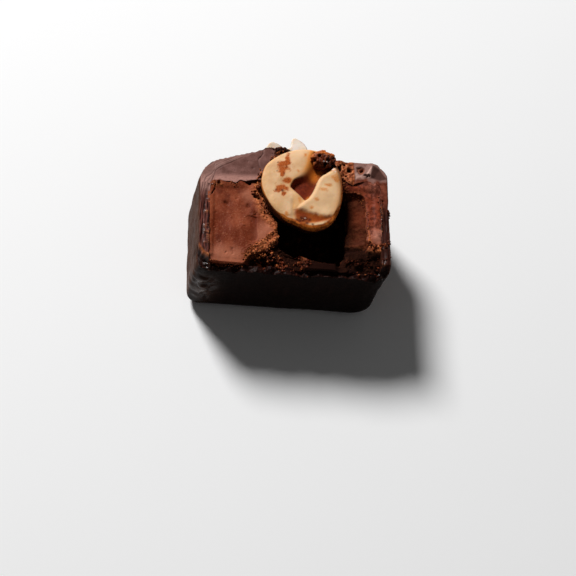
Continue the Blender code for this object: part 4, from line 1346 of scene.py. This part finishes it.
def makeHeap(name, trees):
    ball, faces = ballTemplate()
    allPoints, allFaces, pale = [], [], []
    for corners, count, stray, smallest, largest, paleShare in heaps[name]:
        line = smoothLine(corners)
        for _ in range(count):
            along = dice.uniform(0, len(line) - 1.001)
            x, h = line[int(along)] + dice.normal(0.0, stray, 2)
            radius = smallest * (largest / smallest) ** (dice.uniform() ** 2)
            isPale = dice.uniform() < paleShare
            squash, seed = dice.uniform(0.6, 1.15, 3), dice.uniform(0, 60, 3)
            cuts = dice.normal(0.0, 1.0, (4, 3))
            start = Vector((x * mm, (h - restHeight) * mm, (cutZ + 8) * mm))
            hits = [tree.ray_cast(start, Vector((0, 0, -1)))[0] for tree in trees]
            hits = [hit for hit in hits if hit]
            if not hits:
                continue
            place = np.array(max(hits, key=lambda hit: hit.z)) / mm
            shape = ball * (1 + 0.45 * clouds(ball + seed, 0.9, 131, 2))[:, None]
            for cut in cuts:
                out = cut / np.linalg.norm(cut)
                shape = shape - np.maximum(shape @ out - 0.55, 0.0)[:, None] * out
            allFaces.append(faces + len(ball) * len(allPoints))
            allPoints.append(shape * squash * radius + place + (0.0, 0.0, 0.25 * radius))
            pale.append(np.full(len(ball), isPale * dice.uniform(0.4, 1.0)))
    mesh = bpy.data.meshes.new(name)
    mesh.from_pydata(np.vstack(allPoints) * mm, [], np.vstack(allFaces))
    piece = bpy.data.objects.new(name, mesh)
    bpy.context.scene.collection.objects.link(piece)
    writeMask(piece, "pale", np.concatenate(pale))
    return piece


# Camera, light and floor

studio = {
    "lens": 100.0,
    "sensor": 36.0,
    "nearest": 0.01,  # metres
    "distance": 257.6,
    "tilt": 28.0,  # degrees off square to the cut face, towards the base
    "turn": 7.5,  # and towards the left end
    "aim": (-7, -16),  # the cut's middle at the base sits this many pixels off the picture's middle
    "pixelsPerMm": 6.21,
    "keyFrom": (-0.42, 0.64, 0.64),
    "keyDistance": 900.0,
    "keySize": 260.0,
    "keyPower": 10.4,
    "fillFrom": (0.6, -0.5, 0.9),
    "fillDistance": 500.0,
    "fillSize": 400.0,
    "fillPower": 0.05,
    "worldLight": 0.06,
    "floorColour": (0.98, 0.98, 0.98),
    "floorTone": 0.985,  # its darker patches
    "floorSize": 3000.0,
}


def makeCamera():
    tilt, turn = math.radians(studio["tilt"]), math.radians(studio["turn"])
    back = Vector((-math.sin(turn), -math.cos(turn) * math.sin(tilt), math.cos(turn) * math.cos(tilt)))
    right = Vector((back.z, 0.0, -back.x)).normalized()
    up = back.cross(right)
    aimRight, aimUp = (pixels / studio["pixelsPerMm"] for pixels in studio["aim"])
    target = Vector((0.0, -restHeight, cutZ)) + right * aimRight + up * aimUp
    data = bpy.data.cameras.new("camera")
    data.lens = studio["lens"]
    data.sensor_width = studio["sensor"]
    data.clip_start = studio["nearest"]
    camera = bpy.data.objects.new("camera", data)
    camera.matrix_world = Matrix((right, up, back)).transposed().to_4x4()
    camera.location = (target + back * studio["distance"]) * mm
    bpy.context.scene.collection.objects.link(camera)
    bpy.context.scene.camera = camera


def makeLight(name):
    data = bpy.data.lights.new(name, "AREA")
    data.shape = "DISK"
    data.size = studio[name + "Size"] * mm
    data.energy = studio[name + "Power"]
    lamp = bpy.data.objects.new(name, data)
    direction = Vector(studio[name + "From"]).normalized()
    lamp.location = direction * studio[name + "Distance"] * mm
    lamp.rotation_euler = direction.to_track_quat("Z", "Y").to_euler()
    bpy.context.scene.collection.objects.link(lamp)


def makeStudio():
    makeLight("key")
    makeLight("fill")
    world = bpy.data.worlds.new("studio")
    world.use_nodes = True
    world.node_tree.nodes["Background"].inputs[0].default_value = (1.0, 1.0, 1.0, 1.0)
    world.node_tree.nodes["Background"].inputs[1].default_value = studio["worldLight"]
    bpy.context.scene.world = world
    bm = bmesh.new()
    bmesh.ops.create_grid(bm, x_segments=1, y_segments=1, size=studio["floorSize"] / 2 * mm)
    floor = newPiece("floor", bm)
    material, tree, shader = newMaterial("pale_floor", {"Roughness": 0.8, "Specular IOR Level": 0.2})
    darker = [c * studio["floorTone"] for c in studio["floorColour"]]
    plug(tree, shader, {"Base Color": blend(tree, speckle(tree, 60.0), studio["floorColour"], darker)})
    floor.data.materials.append(material)
    bpy.context.scene.view_settings.view_transform = "Standard"


makeCamera()
makeStudio()
print("camera, lights and floor are set")
coating = hand(makeCoating(), coatingMaterial(), "dark_chocolate", "coating")
filling = hand(makeFilling(), fillingMaterial(), "gianduja", "filling")
kernel = hand(makeKernel(), kernelMaterial(), "kernel", "hazelnut")
whiteNut, crumbChocolate = chipMaterial(), crumbMaterial()
hand(makeChip("nut_chip_left"), whiteNut, "nut_chip", "nut_chip_left")
hand(makeChip("nut_chip_right"), whiteNut, "nut_chip", "nut_chip_right")
hand(makeCrumb(), crumbChocolate, "chocolate_crumb", "chocolate_crumb")
chocolate, nut = [treeOf(coating), treeOf(filling)], treeOf(kernel)
for heap in heaps:
    ground = chocolate + [nut] if heap == "kernel_foot_crumbs" else chocolate
    hand(makeHeap(heap, ground), crumbChocolate, "chocolate_crumb")
print("all pieces are made")
